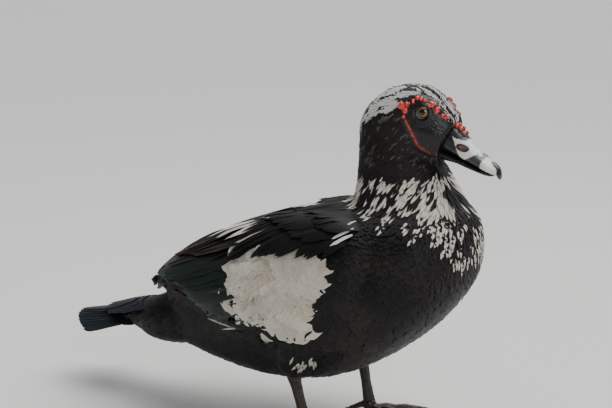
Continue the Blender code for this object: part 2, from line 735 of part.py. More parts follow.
def make_tail(body, wings):
    """The rump's end with the closed fan of the tail and the coverts over and under its base."""
    tail = copy_of(body, "tail")
    combine(tail, [half_space("before", TAIL_CUT, True)], "DIFFERENCE")
    feathers = []
    for k in range(TAIL_PAIRS):
        share = (k + 0.5) / TAIL_PAIRS
        reach = TAIL_LENGTH * (1 - 0.30 * share**2)
        for side in (RIGHT, LEFT):
            root = (-8 * MM, side * 13 * MM * share)
            tip = (reach, side * (TAIL_HALF_WIDTH - 7 * MM) * share)
            low = -TAIL_STEP * (k + (0.5 if side == LEFT else 0))
            feathers.append(tail_feather(root, tip, (low, low), 8.5 * MM, 3.0, FLIGHT_OUTLINE))
    for aft, half, root_lift, lift, width, tilt in TAIL_COVERTS:
        for side in (RIGHT, LEFT):
            root, tip = (-12 * MM, side * half * 0.5 * MM), (aft * MM, side * half * MM)
            ride = 0.4 * MM if side == LEFT else 0
            lifts = (root_lift * MM + ride, lift * MM + ride)
            feathers.append(tail_feather(root, tip, lifts, width * MM, tilt, COVERT_OUTLINE))
    combine(tail, feathers, "UNION", "MANIFOLD")
    combine(tail, [swollen(wing) for wing in wings], "DIFFERENCE", "MANIFOLD")
    return finish(tail, "tail_plumage")


def make_foot(side, word):
    """Three webbed toes in front and a small one behind, flattened where they stand, each with its claw."""
    ankle = ANKLE[side]
    heading = math.radians(FOOT_HEADING[side])
    foot = ball("foot_" + word, ankle + Vector((0, 0, -2.3 * MM)), Vector((7.5, 6.8, 6.9)) * MM)
    pieces, tips = [], {}
    for name, turn, length, root, tip in TOES:
        way = heading - side * math.radians(turn)
        ahead = Vector((math.cos(way), math.sin(way), 0))
        points, radii = [], []
        steps = 6
        for k in range(steps + 1):
            s = k / steps
            radius = (root + (tip - root) * s) * (1 + 0.10 * math.cos(2 * math.pi * 3 * s))
            if k == steps:
                radius *= 0.62
            points.append(Vector((ankle.x, ankle.y, radius - TOE_SINK)) + ahead * length * s)
            radii.append(radius)
        pieces.append(tube("toe", points, radii))
        tips[name] = (points[-1], ahead, radii[-1])
    pieces.append(make_web(ankle, tips))
    back = Vector((-math.cos(heading), -math.sin(heading), 0)) * 0.9 + Vector((0, -side * 0.45, 0))
    hind, hind_radii = [], []
    for behind, height, radius in HIND_TOE:
        hind.append(Vector((ankle.x, ankle.y, height * MM)) + back * behind * MM)
        hind_radii.append(radius * MM)
    pieces.append(tube("toe", hind, hind_radii))
    tips["hind"] = (hind[-1], back.normalized(), hind_radii[-1])
    combine(foot, pieces, "UNION")
    combine(foot, [half_space("ground", GROUND, True)], "DIFFERENCE")
    for name, (tip, ahead, radius) in tips.items():
        claw = make_claw(f"claw_{word}_{name}", tip, ahead, radius, 0.72 if name == "hind" else 1.0)
        combine(claw, [swollen(foot), half_space("ground", GROUND, True)], "DIFFERENCE")
        finish(claw, "dark_horn")
    return foot


def make_web(ankle, tips):
    """The web between the front toes, scalloped between their tips."""
    root = Vector((ankle.x, ankle.y))
    ends = [tips[name][0].xy + (root - tips[name][0].xy) * 0.06 for name in ("inner", "middle", "outer")]
    outline = [root + (root - ends[1]) * 0.02]
    for first, second in zip(ends, ends[1:]):
        hollow = (first + second) / 2 + (root - (first + second) / 2) * 0.20
        for k in range(5):
            s = k / 4
            outline.append(first * (1 - s) ** 2 + hollow * 2 * s * (1 - s) + second * s * s)
    clean = []
    for point in outline:
        if not clean or (point - clean[-1]).length > 0.5 * MM:
            clean.append(point)
    web = sheet("web", [tuple(p) for p in clean], WEB_THICKNESS)
    web.data.transform(web.matrix_world.Translation(Vector((0, 0, WEB_THICKNESS / 2 + 0.4 * MM))))
    return web


def make_claw(name, tip, ahead, radius, size):
    """A curved, tapering claw that grows from a toe's end."""
    length = CLAW_LENGTH * size
    points, radii = [], []
    for k in range(5):
        s = k / 4
        drop = Vector((0, 0, -radius * 0.75)) * s * s
        points.append(tip + ahead * (length * s - 1.5 * MM) + drop + Vector((0, 0, 0.4 * MM)))
        radii.append(radius * 0.86 * (1 - 0.82 * s))
    return tube(name, points, radii, 1)


def make_leg(side, word, body, wing):
    """The feathered thigh, the bare shank and the foot."""
    hock, ankle = HOCK[side], ANKLE[side]
    foot = make_foot(side, word)
    path, radii = [], []
    for forward, out, up, radius in THIGH:
        path.append(hock + Vector((forward, side * out, up)) * MM)
        radii.append(radius * MM)
    thigh = tube("thigh_" + word, path, radii)
    combine(thigh, [swollen(body), swollen(wing)], "DIFFERENCE")
    down = ankle - hock
    shank_path = [hock - down * 0.16] + [hock + down * s for s in (0.0, 0.12, 0.3, 0.6, 0.85, 1.0)]
    shank = tube("shank_" + word, shank_path, [r * MM for r in (6.0, 8.2, 7.4, 5.7, 5.2, 5.8, 6.6)])
    combine(shank, [swollen(body), swollen(thigh), swollen(foot)], "DIFFERENCE")
    finish(thigh, "black_plumage")
    finish(shank, "leg_skin")
    finish(foot, "leg_skin")


def stand_on_origin():
    """Moves every part so that the soles are at Z = 0 and the outer box is centred on the Z axis."""
    parts = [obj for obj in bpy.context.scene.objects if obj.type == "MESH"]
    corners = [v.co for obj in parts for v in obj.data.vertices]
    low = [min(c[i] for c in corners) for i in range(3)]
    high = [max(c[i] for c in corners) for i in range(3)]
    shift = Vector((-(low[0] + high[0]) / 2, -(low[1] + high[1]) / 2, -low[2]))
    for obj in parts:
        obj.data.transform(obj.matrix_world.Translation(shift))
    print("moved by", [round(c, 5) for c in shift], "to size", [round(h - b, 4) for b, h in zip(low, high)])


def gather(name):
    """Puts the bird's parts in one collection under one empty."""
    group = bpy.data.collections.new(name)
    bpy.context.scene.collection.children.link(group)
    stem = bpy.data.objects.new(name, None)
    group.objects.link(stem)
    for obj in [o for o in bpy.context.scene.objects if o.type == "MESH"]:
        bpy.context.scene.collection.objects.unlink(obj)
        group.objects.link(obj)
        obj.parent = stem


def main():
    clear_scene()
    outer = make_torso_and_neck()
    make_head()
    make_eyes()
    make_bill()
    wings = []
    for side, word in ((RIGHT, "right"), (LEFT, "left")):
        wings.append(make_wing(side, word, outer))
        make_leg(side, word, outer, wings[-1])
    make_tail(outer, wings)
    bpy.data.objects.remove(outer)
    stand_on_origin()
    gather("muscovy_duck")


main()
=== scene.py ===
"""A life-size muscovy duck, dressed in skin, feathers, horn and scales over its solids."""
import math

import bmesh
import bpy
import numpy as np
from mathutils import Matrix, Vector, noise
from mathutils.bvhtree import BVHTree
from mathutils.kdtree import KDTree


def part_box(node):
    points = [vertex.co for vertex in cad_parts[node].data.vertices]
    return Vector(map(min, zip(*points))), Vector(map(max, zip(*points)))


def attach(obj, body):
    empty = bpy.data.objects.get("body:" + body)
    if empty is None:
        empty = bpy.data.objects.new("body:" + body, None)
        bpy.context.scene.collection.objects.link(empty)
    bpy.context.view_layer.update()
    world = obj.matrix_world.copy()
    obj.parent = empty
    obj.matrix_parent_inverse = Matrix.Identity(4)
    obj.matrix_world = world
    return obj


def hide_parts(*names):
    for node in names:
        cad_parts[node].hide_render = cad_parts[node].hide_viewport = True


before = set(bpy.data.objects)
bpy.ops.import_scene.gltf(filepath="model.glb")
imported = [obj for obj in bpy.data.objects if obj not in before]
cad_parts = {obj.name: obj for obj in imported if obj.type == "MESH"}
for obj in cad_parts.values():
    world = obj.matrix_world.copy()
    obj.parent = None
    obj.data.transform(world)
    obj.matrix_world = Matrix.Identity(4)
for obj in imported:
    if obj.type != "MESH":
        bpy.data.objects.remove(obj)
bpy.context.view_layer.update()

# The viewpoint: off the bird's right shoulder and a little above its back, through a short telephoto lens.
# It takes in all of the bird but most of its feet.
view_aim = Vector((0.0396, 0, 0.212))
view_azimuth, view_elevation, view_distance = math.radians(32), math.radians(12), 1.36
view_back = Vector((
    math.sin(view_azimuth) * math.cos(view_elevation),
    -math.cos(view_azimuth) * math.cos(view_elevation),
    math.sin(view_elevation),
))
camera = bpy.data.objects.new("camera", bpy.data.cameras.new("camera"))
camera.data.lens = 85
camera.data.sensor_width = 36
camera.location = view_aim + view_back * view_distance
camera.rotation_euler = (-view_back).to_track_quat("-Z", "Y").to_euler()
bpy.context.scene.collection.objects.link(camera)
bpy.context.scene.camera = camera

# The studio: a plain pale floor that runs out to the horizon, under wide soft lamps.
# The broad one overhead gives the black feathers their gloss, and a low one opens the shadows.
def new_look(name):
    """A material, its nodes and its own shader."""
    look = bpy.data.materials.new(name)
    look.use_nodes = True
    return look, look.node_tree, look.node_tree.nodes["Principled BSDF"]


def set_inputs(node, values):
    """Sets a node's sockets by their names."""
    for socket, value in values.items():
        node.inputs[socket].default_value = value


bpy.ops.mesh.primitive_plane_add(size=40, location=(0, 0, -0.0003))
floor = bpy.context.object
floor.name = "floor"
floor_look, _, floor_shader = new_look("pale_floor")
set_inputs(floor_shader, {"Base Color": (0.72, 0.72, 0.70, 1), "Roughness": 0.8})
floor.data.materials.append(floor_look)

sky_lamp = bpy.data.objects.new("lamp_sky", bpy.data.lights.new("lamp_sky", "SUN"))
sky_lamp.data.energy = 3.0
sky_lamp.data.angle = math.radians(75)
sky_lamp.rotation_euler = Vector((0.10, 0.42, 0.90)).to_track_quat("Z", "Y").to_euler()
bpy.context.scene.collection.objects.link(sky_lamp)
for lamp_name, lamp_place, lamp_size, lamp_power in (
    ("lamp_overhead", (0.20, 0.50, 1.60), 0.9, 8),
    ("lamp_front", (1.30, -1.20, 1.00), 0.7, 9),
):
    lamp = bpy.data.objects.new(lamp_name, bpy.data.lights.new(lamp_name, "AREA"))
    lamp.data.size = lamp_size
    lamp.data.energy = lamp_power
    lamp.location = lamp_place
    lamp.rotation_euler = (Vector((0.03, 0, 0.16)) - lamp.location).to_track_quat("-Z", "Y").to_euler()
    bpy.context.scene.collection.objects.link(lamp)
world = bpy.data.worlds.new("soft_sky")
world.use_nodes = True
set_inputs(world.node_tree.nodes["Background"], {"Color": (0.86, 0.89, 0.92, 1), "Strength": 0.24})
bpy.context.scene.world = world

# The body's outer form: the trunk, neck, head, thighs and folded wings as one smooth shape. The coat and the
# rows of wing feathers are laid on it, and the skin lies under it by the depth of the coat. The rump is
# three soft ovals that taper from the trunk's end into the base of the tail.
MM = 0.001
FORM_NODES = ("torso", "neck", "head", "mask_left", "mask_right", "eye_left", "eye_right",
              "thigh_left", "thigh_right", "wing_left", "wing_right")
FORM_GRAIN = 2.0 * MM
RUMP = (
    (Vector((-0.090, 0, 0.0850)), Vector((0.066, 0.046, 0.0270))),
    (Vector((-0.117, 0, 0.0822)), Vector((0.050, 0.034, 0.0195))),
    (Vector((-0.136, 0, 0.0805)), Vector((0.044, 0.029, 0.0120))),
)
RUMP_SLOPE = 0.20


def unit(v):
    """Vectors made one unit long."""
    return v / np.maximum(np.linalg.norm(v, axis=-1, keepdims=True), 1e-12)


def smooth_step(low, high, value):
    """A soft step from 0 at low to 1 at high."""
    t = np.clip((value - low) / (high - low), 0, 1)
    return t * t * (3 - 2 * t)


def new_piece(name, mesh):
    """An object in the scene from a finished mesh."""
    piece = bpy.data.objects.new(name, mesh)
    bpy.context.scene.collection.objects.link(piece)
    return piece


def piece_from(name, bm):
    """A smooth-shaded piece from a finished bmesh."""
    mesh = bpy.data.meshes.new(name)
    bm.to_mesh(mesh)
    bm.free()
    mesh.shade_smooth()
    return new_piece(name, mesh)


def dressed(piece, look, slot, *nodes):
    """Gives a piece its finish and body, and hides the nodes whose place it takes; its slot is not used."""
    piece.data.materials.append(look)
    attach(piece, "root")
    if nodes:
        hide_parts(*nodes)
    return piece


def grown_node(node, grow):
    """A merged copy of a node's mesh, grown a little along its normals."""
    bm = bmesh.new()
    bm.from_mesh(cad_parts[node].data)
    bmesh.ops.remove_doubles(bm, verts=bm.verts, dist=1e-5)
    bm.normal_update()
    moved = [v.co + v.normal * grow for v in bm.verts]
    for v, place in zip(bm.verts, moved):
        v.co = place
    mesh = bpy.data.meshes.new("grown")
    bm.to_mesh(mesh)
    bm.free()
    return mesh


def remeshed(name, bm, grain, smoothing):
    """Turns closed solids into one even mesh, smoothed, and keeps its largest closed surface."""
    piece = piece_from(name, bm)
    even = piece.modifiers.new("even", "REMESH")
    even.mode = "VOXEL"
    even.voxel_size = grain
    if smoothing:
        soften = piece.modifiers.new("soften", "SMOOTH")
        soften.factor = 0.5
        soften.iterations = smoothing
    bpy.context.view_layer.update()
    piece.data = bpy.data.meshes.new_from_object(piece.evaluated_get(bpy.context.evaluated_depsgraph_get()))
    piece.modifiers.clear()
    bm = bmesh.new()
    bm.from_mesh(piece.data)
    groups, left = [], set(bm.verts)
    while left:
        stack, group = [left.pop()], []
        while stack:
            v = stack.pop()
            group.append(v)
            for edge in v.link_edges:
                other = edge.other_vert(v)
                if other in left:
                    left.remove(other)
                    stack.append(other)
        groups.append(group)
    groups.sort(key=len)
    bmesh.ops.delete(bm, geom=[v for group in groups[:-1] for v in group], context="VERTS")
    bm.to_mesh(piece.data)
    bm.free()
    return piece


def mesh_array(mesh, what, count, key):
    """A mesh's places, normals or the like, as rows of an array."""
    values = np.zeros(len(getattr(mesh, what)) * count)
    getattr(mesh, what).foreach_get(key, values)
    return values.reshape(-1, count)


form_bm = bmesh.new()
for node in FORM_NODES:
    form_bm.from_mesh(grown_node(node, 0.4 * MM))
for rump_place, rump_radii in RUMP:
    made = bmesh.ops.create_icosphere(form_bm, subdivisions=4, radius=1)["verts"]
    bmesh.ops.scale(form_bm, vec=rump_radii, verts=made)
    bmesh.ops.rotate(form_bm, verts=made, matrix=Matrix.Rotation(-RUMP_SLOPE, 3, "Y"))
    bmesh.ops.translate(form_bm, vec=rump_place, verts=made)
form = remeshed("form", form_bm, FORM_GRAIN, 14)
form_places = mesh_array(form.data, "vertices", 3, "co")
form_normals = mesh_array(form.data, "vertices", 3, "normal")
form_faces = [tuple(p.vertices) for p in form.data.polygons]
form_tree = BVHTree.FromPolygons([Vector(p) for p in form_places], form_faces)
face_facings = unit(np.array([form_normals[list(f)].mean(axis=0) for f in form_faces]))
face_places = np.array([form_places[list(f)].mean(axis=0) for f in form_faces])
face_areas = np.array([p.area for p in form.data.polygons])


def onto_form(points):
    """The nearest places on the form and the way its surface faces there."""
    places, facings = np.empty_like(points), np.empty_like(points)
    for k, point in enumerate(points):
        place, _, face, _ = form_tree.find_nearest(point)
        places[k] = place
        facings[k] = face_facings[face]
    return places, facings


# The lie of the coat: feathers point away from the bill, down the neck and back along the body to the tail.
# The same line gives each place its station from bill to tail and its angle round the body.
BODY_LINE = np.array((
    (0.200, 0, 0.280), (0.165, 0, 0.296), (0.142, 0, 0.285), (0.140, 0, 0.262), (0.142, 0, 0.235),
    (0.136, 0, 0.200), (0.105, 0, 0.165), (0.060, 0, 0.140), (0.000, 0, 0.118), (-0.070, 0, 0.100),
    (-0.150, 0, 0.082), (-0.240, 0, 0.066),
))
LINE_STEPS = 10
line_places = np.concatenate([
    BODY_LINE[k] + (BODY_LINE[k + 1] - BODY_LINE[k]) * np.arange(LINE_STEPS)[:, None] / LINE_STEPS
    for k in range(len(BODY_LINE) - 1)
])
line_ways = unit(np.gradient(line_places, axis=0))
line_stations = np.arange(len(line_places)) / (len(line_places) - 1)


def along_body(points):
    """Station from bill to tail, angle round the body as a share of a turn, and the lie of the coat."""
    reach = np.linalg.norm(points[:, None, :] - line_places[None, :, :], axis=-1)
    weight = np.exp(-(((reach - reach.min(axis=1, keepdims=True)) / 0.022) ** 2))
    weight /= weight.sum(axis=1, keepdims=True)
    way = unit(weight @ line_ways)
    station = weight @ line_stations
    out = points - weight @ line_places
    across = np.array((0.0, 1.0, 0.0))
    up = np.cross(way, across)
    angle = np.arctan2((out * up).sum(axis=1), out @ across) / (2 * math.pi) + 0.5
    return station, angle, way


# The bare face and the root of the bill, where no feather grows. The face's outline is in mm forward of
# the eye and above it, and the bill's root is a sloping plane.
EYE = sum(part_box("eye_right"), Vector()) / 2
BARE_EDGE = (
    (-23.5, 4.6), (-21.2, 9.4), (-15.5, 11.2), (-10.5, 13.4), (-6.0, 16.0), (-1.0, 15.0), (4.0, 13.0),
    (9.0, 11.0), (13.5, 6.8), (17.5, 2.0), (24.0, -0.4), (33.0, -4.0), (44.0, -20.0), (36.0, -46.0),
    (10.0, -41.0), (1.0, -37.4), (-5.0, -33.6), (-8.2, -28.6), (-10.4, -22.6), (-13.8, -16.6),
    (-17.6, -10.6), (-20.4, -4.6),
)
BARE_INSIDE = 8.0 * MM
HEAD_BASE = 0.262
BILL_EDGE = (Vector((0.1906, 0, 0.2900)), Vector((1.0, 0, -0.52)).normalized())

def on_face_plane(points):
    """How far forward of the eye and above it each place is, in mm."""
    return (points[:, 0] - EYE.x) / MM, (points[:, 2] - EYE.z) / MM


def inside_outline(outline, across, up):
    """Which points lie inside a closed outline, and how far every point is from its edge."""
    inside = np.zeros(across.shape, bool)
    nearest = np.full(across.shape, 1e9)
    for (x0, y0), (x1, y1) in zip(outline, outline[1:] + outline[:1]):
        crosses = (y0 > up) != (y1 > up)
        at = x0 + (up - y0) * (x1 - x0) / (y1 - y0 if y1 != y0 else 1e-9)
        inside ^= crosses & (across < at)
        t = ((across - x0) * (x1 - x0) + (up - y0) * (y1 - y0)) / ((x1 - x0) ** 2 + (y1 - y0) ** 2)
        t = np.clip(t, 0, 1)
        nearest = np.minimum(nearest, np.hypot(across - x0 - t * (x1 - x0), up - y0 - t * (y1 - y0)))
    return inside, nearest


def from_bare_face(points):
    """How far each place is from the bare face in metres, less than 0 inside it."""
    forward, up = on_face_plane(points)
    inside, nearest = inside_outline(BARE_EDGE, forward, up)
    beside = np.abs(points[:, 1]) > BARE_INSIDE
    away = np.where(inside, -nearest, nearest)
    middle = (BARE_INSIDE - np.abs(points[:, 1])) / MM
    return np.where(beside, away, np.maximum(away, middle)) * MM


def before_bill(points):
    """How far behind the edge of the bill each place is, or well behind it below the head."""
    behind = -((points - np.array(BILL_EDGE[0])) @ np.array(BILL_EDGE[1]))
    return np.where(points[:, 2] < HEAD_BASE, 1.0, behind)


# Feathers and skin share their markings: black body, white crown, dark scaled cheeks and a pied neck.
# Each marking is a share from 0 to 1 that is worked out from the place on the body.
BLACK = np.array((0.0062, 0.0055, 0.0062))
BROWN_BLACK = np.array((0.0150, 0.0105, 0.0100))
CREAM = np.array((0.66, 0.62, 0.545))
WHITE = np.array((0.76, 0.76, 0.74))


def speckle(points, size, seed):
    """Smooth noise from 0 to 1 at a size in metres."""
    shift = Vector((seed * 3.17, seed * 1.31, seed * 7.7))
    return np.array([noise.noise(Vector(p) / size + shift) for p in points]) * 0.5 + 0.5


def lie_streaks(points, across_count, along_count, seed):
    """Noise from 0 to 1 along the lie of the coat, by how many streaks go round and along the bird."""
    station, angle, _ = along_body(points)
    return np.array([
        noise.noise(Vector((a * across_count, t * along_count, seed * 7.7))) for t, a in zip(station, angle)
    ]) * 0.5 + 0.5


def crown_share(points):
    """The white of the crown and nape, above a line from the forehead past the brow to the nape."""
    x, _, z = points.T
    edge = 0.3100 + 0.22 * (x - 0.136)
    edge = np.where(x > 0.152, 0.3150 - 0.50 * (x - 0.152), edge)
    edge = np.where(x < 0.122, 0.3069 - 1.0 * (0.122 - x), edge)
    return smooth_step(-0.008, 0.006, z - edge) * (z > HEAD_BASE)


# The trunk's axis, the folded wing's outline and its cream patch, each along the body and round the axis.
AXIS_LINE = ((-0.160, 0.084), (-0.120, 0.087), (-0.095, 0.093), (-0.055, 0.101), (-0.005, 0.111),
             (0.050, 0.120), (0.100, 0.133), (0.145, 0.153), (0.178, 0.171), (0.200, 0.184))
WING_AREA = (
    (144, 14), (138, 2), (120, -8), (85, -10), (40, -8), (-5, -3), (-45, 5), (-78, 17), (-100, 34),
    (-112, 50), (-112, 80), (-100, 82), (-78, 81), (-45, 79), (-5, 76), (40, 71), (85, 65), (120, 57),
    (138, 46), (144, 34),
)
PATCH_EDGE = (
    (-1, 33), (-4, 29), (2, 14), (12, 3), (43, 0), (50, -8), (80, -11), (103, -8), (100, 3), (110, 11),
    (118, 19), (119, 27), (101, 35), (84, 41), (62, 41), (46, 45), (34, 50), (10, 44),
)


def round_axis(points):
    """The angle in degrees round the trunk's axis, 0 at the side and 90 on top."""
    axis_x, axis_z = np.array(AXIS_LINE).T
    above_axis = points[:, 2] - np.interp(points[:, 0], axis_x, axis_z)
    return np.degrees(np.arctan2(above_axis, np.abs(points[:, 1])))


def within(outline, points):
    """How far inside an outline over the body each place is, in a mix of mm and degrees."""
    inside, nearest = inside_outline(outline, points[:, 0] / MM, round_axis(points))
    return np.where(inside, nearest, -nearest)


def neck_share(points):
    """The band of white streaks round the lower neck, which runs on down the front of the breast."""
    x, _, z = points.T
    front = smooth_step(0.150, 0.200, x)
    top = 0.2585 + 0.003 * front
    low = 0.2290 - 0.020 * smooth_step(0.11, 0.20, x) - 0.022 * smooth_step(0.195, 0.208, x)
    return smooth_step(0.004, -0.004, z - top) * smooth_step(-0.006, 0.004, z - low)


# The skin: one seamless surface under the coat, which shows only where feathers part.
# It is dark, and carries the same markings as the feathers over it.
def skin_depth(points):
    """How far the skin lies under the form, deeper on the body than on the head."""
    station, _, _ = along_body(points)
    return MM * (1.2 + 1.6 * smooth_step(0.34, 0.48, station))


def add_tint(mesh, tints):
    """Keeps a colour at each of a mesh's points, for its material to read."""
    layer = mesh.attributes.new("tint", "FLOAT_COLOR", "POINT")
    layer.data.foreach_set("color", np.concatenate([tints, np.ones((len(tints), 1))], 1).ravel())


skin_bm = bmesh.new()
skin_bm.from_mesh(form.data)
skin_inset = skin_depth(form_places)[:, None] * form_normals
for v, inset in zip(skin_bm.verts, skin_inset):
    v.co -= Vector(inset)
skin = piece_from("skin", skin_bm)
skin_white = np.clip(crown_share(form_places) * 0.5 + neck_share(form_places) * 0.15, 0, 1)[:, None]
skin_white = np.maximum(skin_white, 0.8 * smooth_step(-1, 2, within(PATCH_EDGE, form_places))[:, None])
add_tint(skin.data, BLACK * 0.7 * (1 - skin_white) + CREAM * 0.5 * skin_white)


def add_bump(tree, shader, height, strength, distance):
    """Raises a finish by a height."""
    bump = tree.nodes.new("ShaderNodeBump")
    set_inputs(bump, {"Strength": strength, "Distance": distance})
    tree.links.new(height, bump.inputs["Height"])
    tree.links.new(bump.outputs["Normal"], shader.inputs["Normal"])


skin_look, skin_tree, skin_shader = new_look("feathered_skin")
skin_tint_node = skin_tree.nodes.new("ShaderNodeAttribute")
skin_tint_node.attribute_name = "tint"
skin_down = skin_tree.nodes.new("ShaderNodeTexNoise")
skin_down.inputs["Scale"].default_value = 900
skin_place = skin_tree.nodes.new("ShaderNodeTexCoord")
skin_tree.links.new(skin_place.outputs["Object"], skin_down.inputs["Vector"])
skin_tree.links.new(skin_tint_node.outputs["Color"], skin_shader.inputs["Base Color"])
add_bump(skin_tree, skin_shader, skin_down.outputs["Fac"], 0.5, 0.0006)
skin_shader.inputs["Roughness"].default_value = 0.8
dressed(skin, skin_look, "black_plumage", "torso", "neck", "head", "thigh_left", "thigh_right")

# The small feathers of the body, each a thin closed blade with a raised shaft and a ragged tip.
# They overlap like shingles, root under the one before and tip over the one behind.
CONTOUR = ((0.0, 0.35), (0.30, 0.86), (0.55, 1.0), (0.78, 0.92), (0.93, 0.62), (1.0, 0.24))
COLUMNS = (-1.0, -0.55, 0.0, 0.55, 1.0)
PATCH = 0.003
VANE_STEP = 7.3


def named_group(name, inputs, outputs):
    """An empty node group with named sockets."""
    group = bpy.data.node_groups.new(name, "ShaderNodeTree")
    for socket, kind, value in inputs:
        made = group.interface.new_socket(socket, in_out="INPUT", socket_type=kind)
        made.default_value = value
    for socket, kind in outputs:
        group.interface.new_socket(socket, in_out="OUTPUT", socket_type=kind)
    return group, group.nodes.new("NodeGroupInput"), group.nodes.new("NodeGroupOutput")


def shader_math(tree, operation, a, b=None):
    """A math node on two sockets or numbers."""
    node = tree.nodes.new("ShaderNodeMath")
    node.operation = operation
    for socket, value in zip(node.inputs, (a, b)):
        if isinstance(value, (int, float)):
            socket.default_value = value
        elif value is not None:
            tree.links.new(value, socket)
    return node.outputs[0]


def barbs_group():
    """The fine barbs of a vane, slanting out from its shaft: a streak mask, a shaft mask and a height."""
    group, ins, outs = named_group(
        "barbs",
        (("Spacing", "NodeSocketFloat", 1.1), ("Shaft", "NodeSocketFloat", 0.25)),
        (("Streak", "NodeSocketFloat"), ("Height", "NodeSocketFloat"), ("Shaft", "NodeSocketFloat")),
    )
    link = group.links.new
    uv = group.nodes.new("ShaderNodeUVMap")
    uv.uv_map = "vane"
    parts = group.nodes.new("ShaderNodeSeparateXYZ")
    link(uv.outputs["UV"], parts.inputs[0])
    aside = shader_math(group, "ABSOLUTE", parts.outputs["X"])
    slant = shader_math(group, "SUBTRACT", parts.outputs["Y"], shader_math(group, "MULTIPLY", aside, 1.3))
    line = shader_math(group, "DIVIDE", slant, ins.outputs["Spacing"])
    place = group.nodes.new("ShaderNodeCombineXYZ")
    link(line, place.inputs["X"])
    link(shader_math(group, "MULTIPLY", parts.outputs["X"], 0.12), place.inputs["Y"])
    rough = group.nodes.new("ShaderNodeTexNoise")
    set_inputs(rough, {"Scale": 1.0, "Detail": 3.0, "Roughness": 0.65})
    link(place.outputs[0], rough.inputs["Vector"])
    link(rough.outputs["Fac"], outs.inputs["Streak"])
    shaft = shader_math(group, "LESS_THAN", aside, ins.outputs["Shaft"])
    link(shaft, outs.inputs["Shaft"])
    ridge = shader_math(group, "MULTIPLY", shaft, 0.35)
    link(shader_math(group, "ADD", rough.outputs["Fac"], ridge), outs.inputs["Height"])
    return group


barbs = barbs_group()


def ranged(tree, value, source, target):
    """Maps a value from one range to another."""
    node = tree.nodes.new("ShaderNodeMapRange")
    set_inputs(node, dict(zip(("From Min", "From Max", "To Min", "To Max"), (*source, *target))))
    tree.links.new(value, node.inputs["Value"])
    return node.outputs[0]


def shaded_tint(tree, factor):
    """The piece's own tint, lighter and darker by a factor."""
    tint = tree.nodes.new("ShaderNodeAttribute")
    tint.attribute_name = "tint"
    shade = tree.nodes.new("ShaderNodeVectorMath")
    shade.operation = "SCALE"
    tree.links.new(tint.outputs["Color"], shade.inputs[0])
    tree.links.new(factor, shade.inputs["Scale"])
    return shade.outputs[0]


def plumage(name, roughness, depth, streaks, sheen, sheen_tint, specular, coat, shaft):
    """A feather finish: the feather's own tint, streaked along its barbs, with a soft or glossy surface."""
    look, tree, shader = new_look(name)
    vane = tree.nodes.new("ShaderNodeGroup")
    vane.node_tree = barbs
    set_inputs(vane, {"Spacing": 0.9, "Shaft": 0.22})
    swing = ranged(tree, vane.outputs["Streak"], (0.28, 0.72), (1 - streaks, 1 + streaks * 0.7))
    mix = tree.nodes.new("ShaderNodeMix")
    mix.data_type = "RGBA"
    tree.links.new(shader_math(tree, "MULTIPLY", vane.outputs["Shaft"], shaft), mix.inputs["Factor"])
    tree.links.new(shaded_tint(tree, swing), mix.inputs["A"])
    mix.inputs["B"].default_value = (0.05, 0.045, 0.04, 1)
    tree.links.new(mix.outputs["Result"], shader.inputs["Base Color"])
    add_bump(tree, shader, vane.outputs["Height"], 0.6, depth)
    set_inputs(shader, {
        "Roughness": roughness, "Specular IOR Level": specular, "Sheen Weight": sheen,
        "Sheen Roughness": 0.45, "Sheen Tint": (*sheen_tint, 1), "Coat Weight": coat, "Coat Roughness": 0.25,
    })
    return look


def stations(outline):
    """The shares of a feather's length at which its outline is given."""
    return np.array([t for t, _ in outline])


